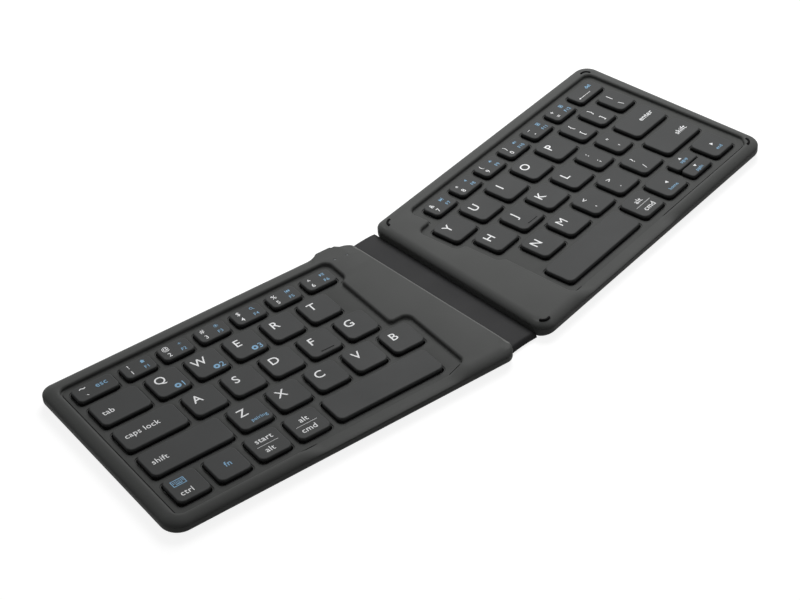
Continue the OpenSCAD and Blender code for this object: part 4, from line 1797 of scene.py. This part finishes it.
@dataclass
class SmallParts:
    """Feet, screws, corner stops and status lights of one half."""

    half: Half
    foot: tuple[Spot, ...] = (
        *((3.95, 1.0), (4.0, 0.9), (4.0, 0.3)),
        *((3.92, 0.12), (3.72, 0.03), (3.4, 0), (1.2, 0)),
    )
    screw: tuple[Spot, ...] = ((0.6, 5.15), (0.6, 1.4), (1.1, 1.4), (1.1, 0.88), (1.0, 0.78), (0.82, 0.75))
    light: tuple[Spot, ...] = ((0.5, 2.4), (0.5, 7.2), (0.46, 7.28), (0.34, 7.33), (0.18, 7.35))

    def place(self, out: Surface, name: str, finish: Finish, slot: str, node: str) -> None:
        """Make one object of a surface and let it ride the half."""
        settle(out.build(name, self.half.grid, [finish]), self.half.side.value, slot, node)

    def feet(self, label: str) -> None:
        """Build the rubber feet as pads with a soft lower edge.

        Args:
            label: the half's word for names.
        """
        out = Surface()
        for x, y in self.half.feet:
            out.lathe(x, y, self.foot, 48, down=True)
        self.place(out, f"{label}_foot_pads", FOOT_RUBBER, "foot_rubber", f"{label}_feet")

    def screws(self, label: str) -> None:
        """Build the screws with a six-lobed drive recess.

        Args:
            label: the half's word for names.
        """
        out = Surface()
        for x, y in self.half.screws:
            loops = [out.level(circle(x, y, r, 24), z) for r, z in self.screw]
            turn = np.arange(24) * 2 * math.pi / 24
            drive = arc(x, y, 0.52 + 0.08 * np.cos(6 * turn), turn)
            out.tube([*loops, out.level(drive, 0.76), out.level(drive, 1.1)], down=True)
        self.place(out, f"{label}_screw_set", SCREW_STEEL, "screw_steel", f"{label}_screws")

    def stops(self) -> None:
        """Build the soft corner stops with a rounded top."""
        out = Surface()
        for stop in self.half.stops:
            loops = [
                out.level(arc_band(*stop, low, high, sweep), Z.top + z)
                for low, high, sweep, z in (
                    *((2.35, 3.25, 50.0, -0.9), (2.35, 3.25, 50.0, 0.18)),
                    *((2.39, 3.21, 49.7, 0.26), (2.48, 3.12, 49.0, 0.3)),
                )
            ]
            out.rings(loops)
            top = loops[-1]
            for i in range(24):
                out.face((top[i], top[i + 1], top[48 - i], top[49 - i]))
            out.cap(loops[0], flip=True)
        self.place(out, "corner_stops", STOP_RUBBER, "foot_rubber", "corner_bumpers")

    def lights(self) -> None:
        """Build the light pipes with domed ends, just below the rim."""
        out = Surface()
        for x, y in self.half.lights:
            out.lathe(x, y, self.light, 24)
        self.place(out, "light_pipes", LIGHT_PIPE, "light_pipe", "status_lights")

    def build(self) -> None:
        """Build all that the half has."""
        self.feet(self.half.side.label)
        self.screws(self.half.side.label)
        if self.half.stops:
            self.stops()
        if self.half.lights:
            self.lights()


@dataclass
class ChargingSocket:
    """Steel shell with a black tongue and its contacts, in the back edge of the left half."""

    x: float = 99.0
    z: float = 4.1
    width: float = 9.0
    height: float = 3.2
    depth: float = 7.3
    wall: float = 0.3
    root: float = 0.9
    tongue: Spot3 = (3.3, 0.35, 4.8)
    contact: Spot = (0.12, 0.015)
    contact_row: float = 2.6
    contact_height: float = 0.36
    contact_ends: Spot = (3.2, 0.25)

    def pill(self, take: float, y: float) -> Points:
        """Draw the shell's outline at one depth.

        Args:
            take: how far it is taken in all round.
            y: the depth.

        Returns:
            Rows of x, y, z.
        """
        r = self.height / 2 - take
        reach = (self.width - self.height) / 2
        a = np.radians(np.linspace(-90, 90, 17))
        flat = np.concatenate([arc(self.x + reach, self.z, r, a), arc(self.x - reach, self.z, -r, a)])
        return np.column_stack([flat[:, 0], np.full(len(flat), y), flat[:, 1]])

    def prong(self, out: Surface, x: Spot, z: Spot, y: Spot, bevel: float, tone: int) -> None:
        """Add a bar with a bevelled end.

        Args:
            out: the socket's surface.
            x: its two sides, from the socket's middle.
            z: its underside and top, from the socket's middle.
            y: its root and end.
            bevel: how far its end is bevelled.
            tone: material slot.
        """
        rows = []
        for place, g in ((y[0], 0.0), (y[1] - bevel, 0.0), (y[1], bevel)):
            flat = box_loop(self.x + x[0] + g, self.z + z[0] + g, self.x + x[1] - g, self.z + z[1] - g)
            rows.append(out.add(np.column_stack([flat[:, 0], np.full(4, place), flat[:, 1]])))
        out.rings(rows, [tone, tone], down=True)
        out.cap(rows[-1], flip=True, tone=tone)

    def build(self) -> None:
        """Build the shell, the tongue and the contacts."""
        out, back, front = Surface(), BACK - 0.1, BACK - self.depth
        shape = [(0.0, front), (0.0, back - 0.12), (0.05, back - 0.03), (0.12, back), (0.22, back)]
        shape += [(0.28, back - 0.05), (self.wall, back - 0.15), (self.wall, front + 1.0)]
        out.tube([out.add(self.pill(take, y)) for take, y in shape], down=True)
        (w, h, length), (cw, ch) = self.tongue, self.contact
        end = front + self.root + length
        self.prong(out, (-w, w), (-h, h), (front + self.root, end), 0.1, SocketSlot.TONGUE)
        reach = tuple(end - y for y in self.contact_ends)
        for x in np.linspace(-self.contact_row, self.contact_row, 12):
            for z in (-self.contact_height, self.contact_height):
                spans = ((x - cw, x + cw), (z - ch, z + ch), reach)
                self.prong(out, *spans, 0.005, SocketSlot.CONTACT)
        obj = out.build("socket_shell", LEFT_GRID, SOCKET_DRESS)
        settle(obj, Side.LEFT.value, "socket_steel", "charging_socket")

    def open(self, *covers: bpy.types.Object) -> None:
        """Cut the socket's opening out of the covers.

        Args:
            covers: the covers.
        """
        out = Surface()
        out.tube([out.add(self.pill(-0.06, y)) for y in (BACK - self.depth - 0.1, BACK + 2.0)], down=True)
        tool = out.build("socket_cutter", LEFT_GRID, [COVER_SHADE])
        for cover in covers:
            step = cover.modifiers.new("opening", "BOOLEAN")
            step.operation = "DIFFERENCE"
            step.solver = "EXACT"
            step.use_hole_tolerant = True
            step.object = tool
            mesh = settled_mesh(cover)
            cover.modifiers.clear()
            cover.data = mesh
        bpy.data.objects.remove(tool)


def settled_mesh(obj: bpy.types.Object) -> bpy.types.Mesh:
    """Give an object's mesh with its text shaped and its modifiers applied."""
    bpy.context.view_layer.update()
    return bpy.data.meshes.new_from_object(obj.evaluated_get(bpy.context.evaluated_depsgraph_get()))


@dataclass
class Inside:
    """Dress for the CAD nodes that are shown as they are."""

    finishes: tuple[tuple[Finish, tuple[str, ...]], ...] = (
        (SHEET_STEEL, ("spine_link", "left_key_plate", "right_key_plate")),
        (PIN_STEEL, ("left_hinge_pin", "right_hinge_pin")),
        (MEMBRANE_FILM, ("left_membrane", "right_membrane")),
        (SOLDER_MASK, ("circuit_board",)),
        (FOIL, ("battery",)),
    )

    def build(self) -> None:
        """Give every such node its finish."""
        for finish, nodes in self.finishes:
            for node in nodes:
                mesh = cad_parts[node].data
                mesh.materials.clear()
                mesh.materials.append(finish.material())
                log.info("%-26s dressed as %s", node, finish.name)


# ---------------------------------------------------------------- studio


@dataclass
class Studio:
    """Pale floor, soft overhead light and a light surround."""

    floor_size: float = 6.0
    floor_colour: Colour = (0.3, 0.3, 0.3, 1.0)
    bounce_colour: Colour = (0.25, 0.25, 0.25, 1.0)
    glow: float = 0.86
    fill_level: float = 0.14
    lamp_place: Spot3 = (0.31, 0.24, 0.46)
    lamp_aim: Spot3 = (0.04, 0.0, 0.0)
    lamp_side: float = 0.45
    lamp_power: float = 3.6

    def floor(self) -> None:
        """Lay the floor, with a faint cloud in its colour."""
        mesh = bpy.data.meshes.new("floor")
        s = self.floor_size
        mesh.from_pydata([(-s, -s, 0), (s, -s, 0), (s, s, 0), (-s, s, 0)], [], [(0, 1, 2, 3)])
        obj = linked("floor", mesh)
        shader = Shader("floor paper")
        low = tuple(c * 0.99 for c in self.floor_colour[:3]) + (1.0,)
        pale = shader.blend(shader.noise(3.0, 2.0), low, self.floor_colour)
        seen = shader.seen_ray()
        shader.coat({
            "Base Color": shader.blend(seen, self.bounce_colour, pale),
            "Emission Color": (1, 1, 1, 1),
            "Emission Strength": shader.span(seen, 0.0, self.glow, 0.0, 1.0),
            "Roughness": 0.9,
            "Specular IOR Level": 0.1,
        })
        mesh.materials.append(shader.data)

    def lamp(self) -> None:
        """Hang the soft square light over the right half."""
        data = bpy.data.lights.new("overhead", "AREA")
        data.shape = "RECTANGLE"
        data.size = data.size_y = self.lamp_side
        data.energy = self.lamp_power
        obj = linked("overhead", data)
        obj.location = self.lamp_place
        aim = Vector(self.lamp_aim) - Vector(self.lamp_place)
        obj.rotation_euler = aim.to_track_quat("-Z", "Y").to_euler()

    def surround(self) -> None:
        """Set the surround: white to the camera, softer as light."""
        world = bpy.data.worlds.new("surround")
        bpy.context.scene.world = world
        world.use_nodes = True
        nodes = Nodes(world.node_tree)
        level = nodes.span(nodes.seen_ray(), self.fill_level, 1.0, 0.0, 1.0)
        nodes.feed(world.node_tree.nodes["Background"], {"Color": (1, 1, 1, 1), "Strength": level})

    def build(self) -> None:
        """Set everything up."""
        self.floor()
        self.surround()
        self.lamp()


@dataclass
class Viewpoint:
    """The camera's place and direction."""

    place: Spot3 = (-0.49134, -0.53944, 0.58679)
    right: Spot3 = (0.72478322, -0.68755085, -0.04430714)
    down: Spot3 = (-0.45936075, -0.43430431, -0.77483384)
    forward: Spot3 = (0.51349488, 0.58193952, -0.63061034)
    lens: float = 102.0
    sensor: float = 36.0
    near: float = 0.05

    def build(self) -> None:
        """Add the camera and make it the scene's own."""
        data = bpy.data.cameras.new("camera")
        data.lens = self.lens
        data.sensor_width = self.sensor
        data.sensor_fit = "HORIZONTAL"
        data.clip_start = self.near
        obj = linked("camera", data)
        axes = Matrix([self.right, [-v for v in self.down], [-v for v in self.forward]]).transposed()
        obj.matrix_world = Matrix.Translation(self.place) @ axes.to_4x4()
        bpy.context.scene.camera = obj


def build_half(half: Half, letters: Lettering) -> None:
    """Build both covers, the keys, their legends and the small parts of one half.

    Args:
        half: the half's plan and fittings.
        letters: the letter shapes for the legends.
    """
    covers = (TopCover(half).build(), BottomCover(half).build())
    if half.side is Side.LEFT:
        socket = ChargingSocket()
        socket.open(*covers)
        socket.build()
    for cover, kind in zip(covers, ("top_cover", "bottom_cover")):
        settle(cover, half.side.value, "cover_plastic", f"{half.side.label}_{kind}")
    KeyRows(half).build()
    KeyLifts(half).build()
    Legends(half, letters).build()
    SmallParts(half).build()


def main() -> None:
    """Build the keyboard, then the studio and the camera."""
    letters = Lettering()
    build_half(LEFT, letters)
    build_half(RIGHT, letters)
    Spine().build()
    Inside().build()
    Studio().build()
    Viewpoint().build()
    bpy.context.scene.view_settings.view_transform = "Standard"


if __name__ == "__main__":
    main()
